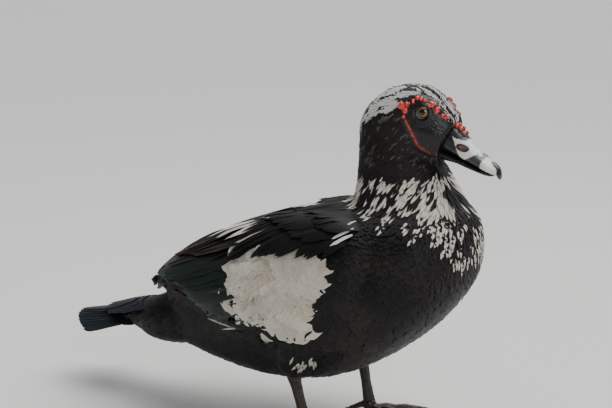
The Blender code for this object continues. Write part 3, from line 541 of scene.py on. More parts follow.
def blades(name, places, facings, half_widths, outline, columns, lifts, tints, look, slot,
           bow=0.0, tilt=0.0, rise=0.12 * MM, ragged=0.06, seed=1):
    """Many feathers as one mesh, each laid along its own line of places."""
    rng = np.random.default_rng(seed)
    count, rows = places.shape[0], len(outline)
    c = np.array(columns)
    cols = len(c)
    share = np.array([w for _, w in outline])
    s = stations(outline)
    ahead = unit(np.gradient(places, axis=1))
    across = unit(np.cross(facings, ahead))
    wide = half_widths[:, None] * share[None, :]
    side = wide[:, :, None] * c[None, None, :]
    side = side * (1 + rng.normal(0, 0.05, side.shape))
    step = np.linalg.norm(places[:, -1] - places[:, -2], axis=1)
    slip = np.zeros((count, rows, cols))
    slip[:, -1, :] = rng.normal(0, ragged, (count, cols)) * 2.2 - 0.5 * c * c
    slip[:, -2, :] = rng.normal(0, ragged, (count, cols))
    bow, tilt = np.broadcast_to(bow, count), np.broadcast_to(tilt, count)
    high = lifts[:, :, None] + rise * (1 - c * c) - bow[:, None, None] * side**2 + tilt[:, None, None] * side
    top = (
        places[:, :, None, :]
        + across[:, :, None, :] * side[..., None]
        + facings[:, :, None, :] * high[..., None]
        + ahead[:, :, None, :] * (slip * step[:, None, None])[..., None]
    )
    index = np.arange(rows * cols).reshape(rows, cols)
    tris = []
    for i in range(rows - 1):
        for j in range(cols - 1):
            a, b, e, d = index[i, j], index[i, j + 1], index[i + 1, j + 1], index[i + 1, j]
            tris += [(a, d, e), (a, e, b)]
        a, b, e, d = index[i, 0], index[i, -1], index[i + 1, -1], index[i + 1, 0]
        tris += [(a, b, e), (a, e, d)]
    for j in range(1, cols - 1):
        tris.append((index[0, 0], index[0, j], index[0, j + 1]))
        tris.append((index[-1, 0], index[-1, j + 1], index[-1, j]))
    tris = np.array(tris)
    size = rows * cols
    corners = (tris[None] + (np.arange(count) * size)[:, None, None]).reshape(-1)
    mesh = bpy.data.meshes.new(name)
    mesh.vertices.add(count * size)
    mesh.vertices.foreach_set("co", top.reshape(-1))
    mesh.loops.add(len(corners))
    mesh.loops.foreach_set("vertex_index", corners)
    mesh.polygons.add(len(corners) // 3)
    mesh.polygons.foreach_set("loop_start", np.arange(0, len(corners), 3))
    mesh.update(calc_edges=True)
    mesh.shade_smooth()
    edges = np.zeros(len(mesh.edges) * 2, int)
    mesh.edges.foreach_get("vertices", edges)
    edges = edges.reshape(-1, 2) % size
    column, row = edges % cols, edges // cols
    rim = (column[:, 0] == column[:, 1]) & ((column[:, 0] == 0) | (column[:, 0] == cols - 1))
    rim |= (row[:, 0] == row[:, 1]) & ((row[:, 0] == 0) | (row[:, 0] == rows - 1))
    mesh.attributes.new("sharp_edge", "BOOLEAN", "EDGE").data.foreach_set("value", rim)
    length = np.linalg.norm(np.diff(places, axis=1), axis=2).sum(1)
    down_shaft = np.broadcast_to((s[None, :] * length[:, None])[..., None], slip.shape)
    local = np.stack([
        np.broadcast_to(side, slip.shape) / MM,
        down_shaft / MM + np.arange(count)[:, None, None] * VANE_STEP,
    ], axis=-1).reshape(-1, 2)
    uv = mesh.uv_layers.new(name="vane")
    uv.data.foreach_set("uv", local[corners].reshape(-1))
    station, angle, _ = along_body(places[:, 0])
    patch = np.stack([
        station[:, None, None] + (np.broadcast_to(c, slip.shape) * 0.5) * PATCH,
        angle[:, None, None] + (np.broadcast_to(s[None, :, None], slip.shape) - 0.5) * PATCH,
    ], axis=-1).reshape(-1, 2)
    bake = mesh.uv_layers.new(name="OFBake")
    bake.data.foreach_set("uv", np.clip(patch, 0.0, 1.0)[corners].reshape(-1))
    add_tint(mesh, tints.reshape(-1, 3))
    return dressed(new_piece(name, mesh), look, slot)


def shafts_over_form(roots, ways, lengths, outline):
    """Walks each feather's shaft over the form from its root."""
    places, facings = [], []
    here, way, gone = roots, ways, 0.0
    for t, _ in outline:
        here = here + way * (lengths * (t - gone))[:, None]
        gone = t
        here, facing = onto_form(here)
        way = unit(way - facing * (way * facing).sum(1, keepdims=True))
        places.append(here)
        facings.append(facing)
    return np.stack(places, 1), np.stack(facings, 1)


def rimmed(core, rim, outline, columns, width):
    """Each feather's tint, fading to its rim's tint at the edges and tip."""
    s = stations(outline)[:, None]
    c = np.abs(np.array(columns))[None, :]
    edge = np.maximum(c, (s - 0.55) / 0.45)
    share = np.clip((edge - (1 - width)) / width, 0, 1)[None, :, :, None]
    return core[:, None, None, :] * (1 - share) + rim[:, None, None, :] * share


def scatter(spacing_of, tries, seed):
    """Even random roots over the form, each at its own spacing from the others."""
    rng = np.random.default_rng(seed)
    spacing = spacing_of(face_places)
    weight = np.where(spacing > 0, face_areas / np.maximum(spacing, 1e-6) ** 2, 0)
    chosen = rng.choice(len(face_places), tries, p=weight / weight.sum())
    jitter = rng.normal(0, 0.5, (tries, 3)) * FORM_GRAIN
    facing = face_facings[chosen]
    points = face_places[chosen] + jitter - facing * (jitter * facing).sum(1, keepdims=True)
    spacing = spacing[chosen]
    tree = KDTree(tries)
    for k, point in enumerate(points):
        tree.insert(point, k)
    tree.balance()
    free = np.ones(tries, bool)
    kept = []
    for k in range(tries):
        if free[k]:
            kept.append(k)
            for _, other, _ in tree.find_range(points[k], spacing[k]):
                free[other] = False
    return points[kept], facing[kept], spacing[kept]


def turned(ways, facings, angles):
    """The ways turned about the facings by small angles."""
    return unit(ways * np.cos(angles)[:, None] + np.cross(facings, ways) * np.sin(angles)[:, None])


def body_spacing(points):
    """The gaps between the body's feathers, 0 under and between the wings and up the neck."""
    station, _, _ = along_body(points)
    x, y, z = points.T
    spacing = MM * (3.2 + 3.4 * smooth_step(0.42, 0.54, station))
    spacing = np.where(z < 0.092, np.where(np.abs(y) > 0.052, 4.2 * MM, spacing), spacing)
    gone = (within(WING_AREA, points) > 6) & (x < 0.098)
    gone |= (round_axis(points) > 22) & (x < 0.080) & (z > 0.1125)
    gone |= within(PATCH_EDGE, points) > -1
    gone |= (z > HEAD_BASE) | ((z > 0.226) & (x > 0.085))
    return np.where(gone, 0, spacing)


def laid(spacing_of, tries, seed, sway, length, length_range, outline):
    """A coat along the lie of the body: its roots, gaps, lines, facings and source of random draws."""
    roots, facings, gaps = scatter(spacing_of, tries, seed)
    _, _, ways = along_body(roots)
    rng = np.random.default_rng(seed + 1)
    ways = turned(ways, facings, rng.normal(0, sway, len(roots)))
    lengths = gaps * length * rng.uniform(*length_range, len(roots))
    lines, faces = shafts_over_form(roots, ways, lengths, outline)
    return roots, gaps, lines, faces, rng


body_roots, body_gaps, body_lines, body_faces, body_rng = laid(
    body_spacing, 42000, 11, 0.10, 3.3, (0.92, 1.1), CONTOUR)
body_lifts = (-2.1 + 3.25 * stations(CONTOUR))[None, :] * MM * (0.75 + 0.25 * body_gaps / (6 * MM))[:, None]
body_brown = smooth_step(0.42, 0.75, speckle(body_roots, 0.035, 2))[:, None]
body_tone = body_rng.uniform(0.70, 1.35, (len(body_roots), 1))
body_core = (BLACK * (1 - body_brown) + BROWN_BLACK * body_brown) * body_tone
# The lighter rims of the black body feathers are a painted highlight along their edges and tips.
body_highlight_rim = body_core * 1.6 + 0.0016
body_tints = rimmed(body_core, body_highlight_rim, CONTOUR, COLUMNS, 0.40)
black_look = plumage("black_body_feathers", 0.46, 0.00035, 0.55, 0.02, (0.75, 0.55, 0.70), 0.18, 0.0, 0.10)
blades("coat_body", body_lines, body_faces, body_gaps * 1.02, CONTOUR, COLUMNS, body_lifts, body_tints,
       black_look, "black_plumage", bow=4.0, ragged=0.13, seed=13)

# The neck's feathers: long narrow hackles, black with brown, and white ones in ragged bands above the breast.
# A white one is a little darker at its rim, and dark ones among them break the band into streaks.
LANCE = ((0.0, 0.45), (0.28, 0.92), (0.52, 1.0), (0.75, 0.78), (0.92, 0.42), (1.0, 0.10))


def neck_spacing(points):
    """The gaps between the neck's feathers, 0 where none grow."""
    x, _, z = points.T
    spacing = MM * (1.9 + 0.9 * smooth_step(0.262, 0.236, z))
    low = 0.219 - 0.050 * smooth_step(0.176, 0.204, x)
    gone = (z < low) | (z > 0.266) | (x < 0.075)
    gone |= (from_bare_face(points) < 0) | (before_bill(points) < 0.001)
    return np.where(gone, 0, spacing)


neck_roots, neck_gaps, neck_lines, neck_faces, neck_rng = laid(
    neck_spacing, 36000, 21, 0.10, 6.2, (0.85, 1.15), LANCE)
neck_count = len(neck_roots)
neck_rise = MM * neck_rng.uniform(0.85, 1.25, (neck_count, 1))
neck_lifts = (-1.4 + 2.6 * stations(LANCE)**0.9)[None, :] * neck_rise
neck_cluster = lie_streaks(neck_roots, 26, 17, 5) * 0.7 + lie_streaks(neck_roots, 60, 40, 6) * 0.3
neck_white = neck_cluster + 0.07 * neck_rng.normal(0, 1, neck_count) > 0.92 - 0.44 * neck_share(neck_roots)
neck_tone = neck_rng.uniform(0.7, 1.35, (neck_count, 1))
neck_core = np.where(neck_white[:, None], CREAM * (0.98 + 0.17 * neck_tone), BROWN_BLACK * 0.75 * neck_tone)
neck_rim = np.where(neck_white[:, None], CREAM * 0.68, BLACK * 1.25)
neck_tints = rimmed(neck_core, neck_rim, LANCE, COLUMNS, 0.42)
pied_look = plumage("pied_feathers", 0.55, 0.00018, 0.35, 0.04, (0.9, 0.85, 0.8), 0.28, 0.0, 0.0)
blades("coat_neck", neck_lines, neck_faces, neck_gaps * 0.66, LANCE, COLUMNS, neck_lifts, neck_tints,
       pied_look, "pied_plumage", bow=6.0, seed=23)

# The head's feathers: tiny scales, smallest beside the bare face, dark on the cheeks with pale flecks.
# The crown and nape are white with fine black streaks, whitest down the middle of the forehead.
SMALL = ((0.0, 0.5), (0.35, 1.0), (0.75, 0.88), (1.0, 0.30))
SMALL_COLUMNS = (-1.0, 0.0, 1.0)


def head_spacing(points):
    """The gaps between the head's feathers, smallest beside the bare face, 0 where none grow."""
    z = points[:, 2]
    away = from_bare_face(points)
    spacing = MM * (0.95 + 0.35 * smooth_step(0.001, 0.012, away) + 0.30 * smooth_step(0.290, 0.265, z))
    gone = (z < 0.2575) | (away < -0.0004) | (before_bill(points) < 0.0012)
    return np.where(gone, 0, spacing)


head_roots, head_gaps, head_lines, head_faces, head_rng = laid(
    head_spacing, 90000, 31, 0.12, 4.6, (0.85, 1.2), SMALL)
head_count = len(head_roots)
head_rise = head_rng.uniform(0.8, 1.2, head_count)
head_lifts = (-0.9 + 1.55 * stations(SMALL))[None, :] * MM * head_rise[:, None]
head_crown = crown_share(head_roots)
head_forehead = smooth_step(0.148, 0.166, head_roots[:, 0])
head_forehead *= smooth_step(0.0020, 0.0045, np.abs(head_roots[:, 1]))
head_fine = lie_streaks(head_roots, 105, 58, 8) * 0.68 + lie_streaks(head_roots, 40, 32, 9) * 0.32
head_fine += 0.04 * head_rng.normal(0, 1, head_count)
head_nape = smooth_step(0.125, 0.105, head_roots[:, 0]) * smooth_step(0.262, 0.275, head_roots[:, 2])
head_share = head_crown * (0.86 - 0.20 * head_forehead) + 0.42 * head_nape * (1 - head_crown)
head_is_white = head_fine < 0.35 + 0.26 * np.clip(head_share, 0.03, 0.86)
head_tone = head_rng.uniform(0.75, 1.25, (head_count, 1))
head_grey = (0.11 + 0.89 * smooth_step(0.15, 0.75, head_crown))[:, None]
head_white_tint = WHITE * head_grey * (0.72 + 0.20 * head_tone)
head_core = np.where(head_is_white[:, None], head_white_tint, BROWN_BLACK * 0.62 * head_tone)
head_rim = np.where(head_is_white[:, None], head_white_tint * 0.85, BROWN_BLACK * 1.2 * head_tone)
head_tints = rimmed(head_core, head_rim, SMALL, SMALL_COLUMNS, 0.5)
blades("coat_head", head_lines, head_faces, head_gaps * 0.66, SMALL, SMALL_COLUMNS, head_lifts, head_tints,
       pied_look, "pied_plumage", bow=8.0, seed=33)

# Tufts: a few longer white feathers that stand a little off the back of the crown,
# and small loose pale ones where the right thigh leaves the flank.
def tuft(name, centre, spread, way, count, length, half_width, stand, white, seed):
    """A few loose feathers that stand up round a place on the body."""
    rng = np.random.default_rng(seed)
    roots, facings = onto_form(np.array(centre) + rng.normal(0, 1, (count, 3)) * np.array(spread))
    ways = turned(np.tile(way, (count, 1)), facings, rng.normal(0, 0.25, count))
    lines, faces = shafts_over_form(roots, unit(ways), length * rng.uniform(0.75, 1.2, count), LANCE)
    lifts = (-1.0 + stand * stations(LANCE)**1.3)[None, :] * MM * rng.uniform(0.5, 1.15, (count, 1))
    core = white * rng.uniform(0.7, 1.0, (count, 1))
    blades(name, lines, faces, np.full(count, half_width), LANCE, COLUMNS, lifts,
           rimmed(core, core * 0.8, LANCE, COLUMNS, 0.4), pied_look, "pied_plumage", seed=seed + 1)


tuft("nape_tuft", (0.1385, 0, 0.3315), (0.0035, 0.0055, 0.0004), (-1.0, 0.0, 0.1),
     26, 0.011, 0.0013, 4.2, WHITE, 35)
tuft("thigh_tuft_right", (0.083, -0.070, 0.088), (0.0055, 0.003, 0.003), (-0.3, -0.1, -1.0),
     20, 0.011, 0.0012, 4.2, CREAM * 0.85, 38)

# The wing's soft coverts, which overlap over the front of the folded wing:
# black ones round a large cream patch.
WING_WAY = unit(np.array((-0.80, 0.0, -0.60)))


def coverts(name, spacing_of, tries, seed, core_of, rim_of, lifts, length, width, look, outline, columns,
            ragged):
    """A spread of soft feathers over the wing, all lying back and down across it."""
    roots, facings, gaps = scatter(spacing_of, tries, seed)
    rng = np.random.default_rng(seed + 1)
    count = len(roots)
    ways = unit(WING_WAY - facings * (WING_WAY * facings).sum(1, keepdims=True))
    ways = turned(ways, facings, rng.normal(0, 0.12, count))
    lines, faces = shafts_over_form(roots, ways, gaps * length * rng.uniform(0.9, 1.12, count), outline)
    low, high = lifts
    along = stations(outline) ** 0.8
    rise = (low + (high - low) * along)[None, :] * MM * rng.uniform(0.9, 1.15, (count, 1))
    tone = rng.uniform(0.8, 1.2, (count, 1))
    core = core_of(roots, tone)
    tints = rimmed(core, rim_of(core), outline, columns, 0.35)
    blades(name, lines, faces, gaps * width, outline, columns, rise, tints, look, "wing_plumage", bow=3.0,
           ragged=ragged, seed=seed + 2)


def black_covert_spacing(points):
    """The gaps between the black coverts, 0 off the wing and on the patch."""
    spread = (within(WING_AREA, points) > 12) & (within(PATCH_EDGE, points) < 2) & (points[:, 0] > -0.010)
    return np.where(spread, 6.0 * MM, 0)


def patch_gap(points):
    """The size of the patch's feathers, larger to the rear."""
    return MM * (7.0 + 3.6 * smooth_step(0.110, 0.020, points[:, 0]))


def patch_spacing(points):
    """The gaps between the patch's feathers, which all end inside its edge."""
    gap = patch_gap(points)
    rooted = within(PATCH_EDGE, points + WING_WAY * 0.004) > 0
    reach = within(PATCH_EDGE, points + WING_WAY * (2.0 * gap)[:, None]) > -1.5
    return np.where(rooted & reach, gap * 0.48, 0)


wing_black_look = plumage("black_wing_feathers", 0.44, 0.0003, 0.45, 0.0, (0.7, 0.8, 0.85), 0.18, 0.0, 0.12)
wing_white_look = plumage("cream_wing_feathers", 0.65, 0.00030, 0.14, 0.15, (1, 0.96, 0.9), 0.25, 0.0, 0.0)
# The black coverts' lighter rims (core * 1.4) are a painted highlight along their edges and tips, as on the
# body coat.
coverts("wing_coverts_black", black_covert_spacing, 9000, 41, lambda p, tone: BLACK * 1.1 * tone,
        lambda core: core * 1.4, (-2.2, 0.7), 3.4, 1.05, wing_black_look, CONTOUR, COLUMNS, 0.10)


def patch_core(points, tone):
    """Cream, with soft tan streaks painted as the shade where the feathers part."""
    tan = smooth_step(0.30, 0.75, lie_streaks(points, 26, 30, 9))[:, None]
    return CREAM * (0.88 + 0.08 * tone) * (1 - np.array((0.26, 0.35, 0.46)) * tan)


FLIGHT = ((0.0, 0.5), (0.12, 0.78), (0.25, 0.92), (0.40, 1.0), (0.55, 1.0), (0.70, 0.97), (0.82, 0.88),
          (0.91, 0.70), (0.97, 0.46), (1.0, 0.20))
PATCH_COLUMNS = (-1.0, -0.68, -0.34, 0.0, 0.34, 0.68, 1.0)
# Each patch feather's rim is a lighter cream than its tan core: painted shade towards the roots, so the
# feathers read as scallops.
coverts("wing_patch_cream", patch_spacing, 12000, 44, patch_core, lambda core: core * 0.35 + CREAM * 0.68,
        (-0.9, 1.7), 5.2, 1.75, wing_white_look, FLIGHT, PATCH_COLUMNS, 0.05)

# The long feathers of the folded wings, laid one over the other from the lowest to the highest:
# primaries at the tip, green-black secondaries, tertials, and the draping scapulars on top.
FLIGHT_COLUMNS = (-1.0, -0.78, -0.52, -0.26, -0.05, 0.05, 0.26, 0.52, 0.78, 1.0)
WING_TILT, LINE_SMOOTHING = 7.0, 5
GREEN_BLACK = np.array((0.0060, 0.0120, 0.0088))
BLUE_BLACK = np.array((0.0075, 0.0095, 0.0150))
RUST = np.array((0.085, 0.035, 0.016))


def wing_spot(side, x, degrees):
    """A place on the form at a distance along the body and an angle round its axis."""
    axis_x, axis_z = np.array(AXIS_LINE).T
    start = Vector((x, 0, float(np.interp(x, axis_x, axis_z))))
    a = math.radians(degrees)
    place, _, face, _ = form_tree.ray_cast(start, Vector((0, side * math.cos(a), math.sin(a))))
    return np.array(place), face_facings[face]


def wing_row(name, count, roots, tips, half_width, lifts, core, rim, look, bend=0.0, sides=(-1, 1),
             rim_width=0.22, seed=50):
    """A row of long feathers on each wing, between its first and last feather's root and tip."""
    lines, faces, rises, tilts, widths, cores, rims = [], [], [], [], [], [], []
    rng = np.random.default_rng(seed)
    for side in sides:
        for k in range(count):
            share = k / max(count - 1, 1)
            root = [a + (b - a) * share + rng.normal(0, j) for a, b, j in zip(*roots, (0.0012, 0.5))]
            tip = [a + (b - a) * share + rng.normal(0, j) for a, b, j in zip(*tips, (0.0022, 0.7))]
            line, face, rise = [], [], []
            for t, _ in FLIGHT:
                x, degrees = (a + (b - a) * t for a, b in zip(root, tip))
                place, facing = wing_spot(side, x, degrees + bend * t * (1 - t))
                line.append(place)
                face.append(facing)
                rise.append((lifts[0] + (lifts[1] - lifts[0]) * math.sqrt(t) + share * t) * MM)
            lines.append(line)
            faces.append(face)
            rises.append(rise)
            tilts.append(-side * math.tan(math.radians(WING_TILT)))
            widths.append(half_width * MM * rng.uniform(0.94, 1.06))
            tone = rng.uniform(0.85, 1.15)
            cores.append(core * tone)
            rims.append(rim * tone)
    lines, faces = np.array(lines), np.array(faces)
    for _ in range(LINE_SMOOTHING):
        lines[:, 1:-1] = (lines[:, :-2] + 2 * lines[:, 1:-1] + lines[:, 2:]) / 4
    faces = unit(faces + 1.2 * faces.mean(axis=1, keepdims=True))
    tints = rimmed(np.array(cores), np.array(rims), FLIGHT, FLIGHT_COLUMNS, rim_width)
    return blades(name, lines, faces, np.array(widths), FLIGHT, FLIGHT_COLUMNS, np.array(rises), tints,
                  look, "wing_plumage", bow=3.0, tilt=np.array(tilts), rise=0.5 * MM, ragged=0.16,
                  seed=seed + 1)


gloss_look = plumage("glossy_flight_feathers", 0.36, 0.0002, 0.40, 0.0, (1, 1, 1), 0.22, 0.03, 0.2)


def wing_tips():
    """The tips of the primaries, which run on over the rump, clear of the body."""
    lines, faces = [], []
    for side in (-1, 1):
        for k in range(5):
            root, out = wing_spot(side, -0.028, 50 + 5 * k)
            middle, _ = wing_spot(side, -0.072, 46 + 6 * k)
            tip = np.array((-0.110 - 0.0028 * k, side * (0.037 - 0.0040 * k), 0.1170 + 0.0020 * k))
            line = []
            for t, _ in FLIGHT:
                bend = root * (1 - t) ** 2 + (middle + out * 2.5 * MM) * 2 * t * (1 - t) + tip * t * t
                line.append(bend + out * (0.5 + 0.45 * k) * MM)
            lines.append(line)
            faces.append(np.tile(unit(np.array((-0.2, side * 0.85, 0.75))), (len(FLIGHT), 1)))
    count = len(lines)
    tone = np.random.default_rng(97).uniform(0.8, 1.2, (count, 1))
    tints = rimmed(BLACK * 1.8 * tone, BLACK * 3.2 * tone + 0.006, FLIGHT, FLIGHT_COLUMNS, 0.3)
    blades("wing_tips", np.array(lines), np.array(faces), np.full(count, 0.0074), FLIGHT, FLIGHT_COLUMNS,
           np.zeros((count, len(FLIGHT))), tints, gloss_look, "wing_plumage", bow=3.0, rise=0.5 * MM,
           ragged=0.12, seed=98)


wing_row("wing_primaries", 7, ((-0.020, 26), (-0.035, 58)), ((-0.084, 34), (-0.101, 58)), 8.0, (-0.5, 2.4),
         BLACK * 1.5, BLACK * 3.0 + 0.006, gloss_look, bend=-3, seed=51)
wing_tips()
wing_row("wing_greater_coverts", 9, ((0.094, -6), (0.030, 8)), ((0.034, -6), (-0.030, 10)), 8.5, (-2.4, 1.2),
         GREEN_BLACK, BLACK * 1.5, wing_black_look, bend=-4, seed=53)
secondaries = wing_row("wing_secondaries", 11, ((0.050, 2), (0.016, 50)), ((-0.018, 0), (-0.098, 46)),
                       9.5, (-2.4, 3.0), GREEN_BLACK, GREEN_BLACK * 2.0, gloss_look, bend=-2, seed=55)
wing_row("wing_tertials", 6, ((0.060, 50), (0.030, 72)), ((-0.060, 50), (-0.098, 66)), 10.5, (-0.5, 3.4),
         GREEN_BLACK * 0.9, RUST, gloss_look, bend=4, rim_width=0.18, seed=57)
wing_row("wing_back_feathers", 6, ((0.080, 72), (0.050, 84)), ((-0.014, 70), (-0.070, 80)), 10.0, (-0.5, 4.0),
         BLACK * 1.1, BLACK * 1.8, wing_black_look, seed=61)
wing_row("wing_cream_tertials", 4, ((0.070, 65), (0.056, 72)), ((0.004, 45), (-0.040, 59)), 7.0, (1.4, 6.0),
         CREAM * 0.85, CREAM * 0.65, wing_white_look, bend=3, seed=59)
wing_row("wing_long_scapulars", 9, ((0.098, 52), (0.086, 68)), ((-0.002, 33), (0.012, 54)), 4.6, (0.5, 6.2),
         BLACK, BLACK * 1.8, wing_black_look, bend=16, seed=63)
wing_row("wing_low_scapulars", 14, ((0.130, 36), (0.096, 54)), ((0.110, 31), (0.031, 37)), 5.0, (-0.5, 5.2),
         BLACK, BLACK * 1.8, wing_black_look, bend=12, seed=65)
wing_row("wing_upper_scapulars", 13, ((0.134, 42), (0.084, 70)), ((0.086, 41), (0.026, 60)), 6.0, (-0.5, 5.6),
         BLACK * 1.1, BLACK * 1.8, wing_black_look, bend=6, seed=67)
wing_row("wing_top_scapulars", 13, ((0.138, 46), (0.088, 84)), ((0.100, 45), (0.040, 80)), 7.0, (-1.5, 5.4),
         BLACK * 1.2, BLACK * 1.9, wing_black_look, bend=3, seed=69)
wing_row("far_wing_crest", 6, ((0.052, 82), (0.046, 58)), ((-0.058, 78), (-0.080, 54)), 10.5, (0.0, 9.0),
         BLUE_BLACK * 1.3, RUST * 0.5, gloss_look, bend=0, sides=(1,), seed=75)
wing_row("shoulder_flecks", 3, ((0.1285, 49.5), (0.1325, 40)), ((0.1185, 42), (0.1150, 36)), 1.7, (1.8, 3.0),
         WHITE * 0.9, CREAM * 0.8, wing_white_look, seed=71)
wing_row("wing_white_shafts", 2, ((0.008, -7), (0.026, -4)), ((-0.030, -1), (-0.004, -9)), 1.1, (1.0, 2.2),
         CREAM * 0.8, CREAM * 0.7, wing_white_look, seed=73)
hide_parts("wing_left", "wing_right")

# The tail: a closed fan of broad green-black feathers from a narrow base, arched like a low roof.
# The middle pair lies on top, and soft coverts hide its base above and below.
TAIL_ROOT = np.array((-0.1264, 0, 0.0905))
TAIL_SLOPE, TAIL_ARCH, TAIL_LENGTH, TAIL_HALF_WIDTH, TAIL_PAIRS = 0.20, 8.5, 0.112, 0.047, 9
TAIL_STEP = 0.65 * MM


def tail_row(name, feathers, outline, columns, core, rim, look, rim_width, bow, tilt, seed):
    """Feathers over the fan, each given by its root and tip aft and across, its lifts and half width."""
    lines, faces, rises, widths, tilts = [], [], [], [], []
    for root, tip, lifts, half_width in feathers:
        line, face = [], []
        for t, _ in outline:
            aft, across = (a + (b - a) * t for a, b in zip(root, tip))
            drop = TAIL_SLOPE * aft + TAIL_ARCH * across * across
            line.append(TAIL_ROOT + np.array((-aft, across, -drop)))
            face.append((TAIL_SLOPE, 2 * TAIL_ARCH * across, 1))
        lines.append(line)
        faces.append(face)
        rises.append([lifts[0] + (lifts[1] - lifts[0]) * t for t, _ in outline])
        widths.append(half_width)
        tilts.append(math.copysign(math.tan(math.radians(tilt)), -root[1]))
    count = len(lines)
    tone = np.random.default_rng(seed).uniform(0.8, 1.2, (count, 1))
    tints = rimmed(core * tone, rim * tone, outline, columns, rim_width)
    return blades(name, np.array(lines), unit(np.array(faces)), np.array(widths), outline, columns,
                  np.array(rises), tints, look, "tail_plumage", bow=bow, tilt=np.array(tilts),
                  rise=0.4 * MM, ragged=0.08, seed=seed)


tail_feathers = []
for k in range(TAIL_PAIRS):
    share = (k + 0.5) / TAIL_PAIRS
    for side in (-1, 1):
        low = -TAIL_STEP * (k + (0.5 if side == 1 else 0))
        tail_feathers.append((
            (-0.008, side * 0.013 * share),
            (TAIL_LENGTH * (1 - 0.30 * share**2), side * (TAIL_HALF_WIDTH - 0.008) * share),
            (low, low),
            0.0088,
        ))
rectrices = tail_row("tail_feathers", tail_feathers, FLIGHT, FLIGHT_COLUMNS,
                     GREEN_BLACK * 1.3 + BLUE_BLACK * 0.3, BLUE_BLACK * 1.8, gloss_look, 0.3, 4.0, 3.0, 81)
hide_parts("tail")
tail_rng = np.random.default_rng(83)
for covert_name, root_lift, tip_lift, covert_tilt in (
    ("tail_upper_coverts", 0.0085, 0.0032, 3.0),
    ("tail_under_coverts", -0.0125, -0.0060, -3.0),
):
    soft = []
    for tier, (reach, half) in enumerate(((0.076, 0.022), (0.064, 0.024), (0.052, 0.025), (0.040, 0.024))):
        for k in range(11):
            across = half * (2 * k / 10 - 1) + 1e-5
            aft = reach * (1 - 0.18 * (across / half) ** 2) * tail_rng.uniform(0.95, 1.05)
            lifts = (root_lift, tip_lift + (root_lift - tip_lift) * 0.22 * tier)
            soft.append(((aft - 0.036, across * 0.75), (aft, across), lifts, 0.0062))
    tail_row(covert_name, soft, CONTOUR, COLUMNS, BLACK * 0.8 + BLUE_BLACK * 0.5, BLUE_BLACK * 1.9,
             gloss_look, 0.4, 4.0, covert_tilt, 85)

# The bare mask on each side of the head: thin black skin, satin and pebbled, in soft folds round the eye.
# Its edge dips under the first small feathers.
BARE_BLACK = np.array((0.0060, 0.0050, 0.0055))
BARE_BROWN = np.array((0.070, 0.028, 0.016))
MASK_THICKNESS = 0.8 * MM
CHEEK_LINE = (
    (-14.0, -7.6), (-10.6, -13.2), (-7.4, -18.6), (-4.9, -24.4), (-3.2, -29.2), (2.0, -33.4), (9.0, -37.0),
)
NOISE_RANGE, GLOSS_SWING = (0.3, 0.7), 0.07
LID_FOLDS = ((7.9, 0.50, 0.62), (9.7, 0.42, 0.66), (11.6, 0.30, 0.85))


def bump_at(distance, width):
    """A soft bump, 1 at its middle."""
    return np.exp(-((distance / width) ** 2))


def gruff(points, size, seed):
    """Layered noise round 0 at a size in metres."""
    shift = Vector((seed * 2.13, seed * 5.7, seed * 1.9))
    return np.array([noise.fractal(Vector(p) / size + shift, 0.8, 2.0, 3) for p in points])


def near_line(line, forward, up):
    """The distance in mm from a line of points on the face, and the share of the way along it."""
    nearest, along = np.full(forward.shape, 1e9), np.zeros(forward.shape)
    for k, ((x0, y0), (x1, y1)) in enumerate(zip(line, line[1:])):
        t = ((forward - x0) * (x1 - x0) + (up - y0) * (y1 - y0)) / ((x1 - x0) ** 2 + (y1 - y0) ** 2)
        t = np.clip(t, 0, 1)
        away = np.hypot(forward - x0 - t * (x1 - x0), up - y0 - t * (y1 - y0))
        closer = away < nearest
        nearest, along = np.where(closer, away, nearest), np.where(closer, (k + t) / (len(line) - 1), along)
    return nearest, along


def tinted(name, roughness, pebble, depth, specular=0.5, coat=0.0, coat_roughness=0.1, mottle=0.15,
           subsurface=0.0):
    """A finish in the piece's own tints, mottled and pebbled at a size in metres."""
    look, tree, shader = new_look(name)
    place = tree.nodes.new("ShaderNodeTexCoord")
    cells = tree.nodes.new("ShaderNodeTexVoronoi")
    cells.inputs["Scale"].default_value = 1 / pebble
    grain = tree.nodes.new("ShaderNodeTexNoise")
    set_inputs(grain, {"Scale": 0.4 / pebble, "Detail": 4})
    for texture in (cells, grain):
        tree.links.new(place.outputs["Object"], texture.inputs["Vector"])
    swing = ranged(tree, grain.outputs["Fac"], NOISE_RANGE, (1 - mottle, 1 + mottle))
    tree.links.new(shaded_tint(tree, swing), shader.inputs["Base Color"])
    relief = shader_math(tree, "SUBTRACT", grain.outputs["Fac"], cells.outputs["Distance"])
    add_bump(tree, shader, relief, 0.5, depth)
    smooth, dull = max(roughness - GLOSS_SWING, 0.03), roughness + GLOSS_SWING
    rough = ranged(tree, grain.outputs["Fac"], NOISE_RANGE, (smooth, dull))
    tree.links.new(rough, shader.inputs["Roughness"])
    set_inputs(shader, {
        "Specular IOR Level": specular, "Coat Weight": coat, "Coat Roughness": coat_roughness,
        "Subsurface Weight": subsurface, "Subsurface Radius": (1.0, 0.3, 0.2), "Subsurface Scale": 0.001,
    })
    return look


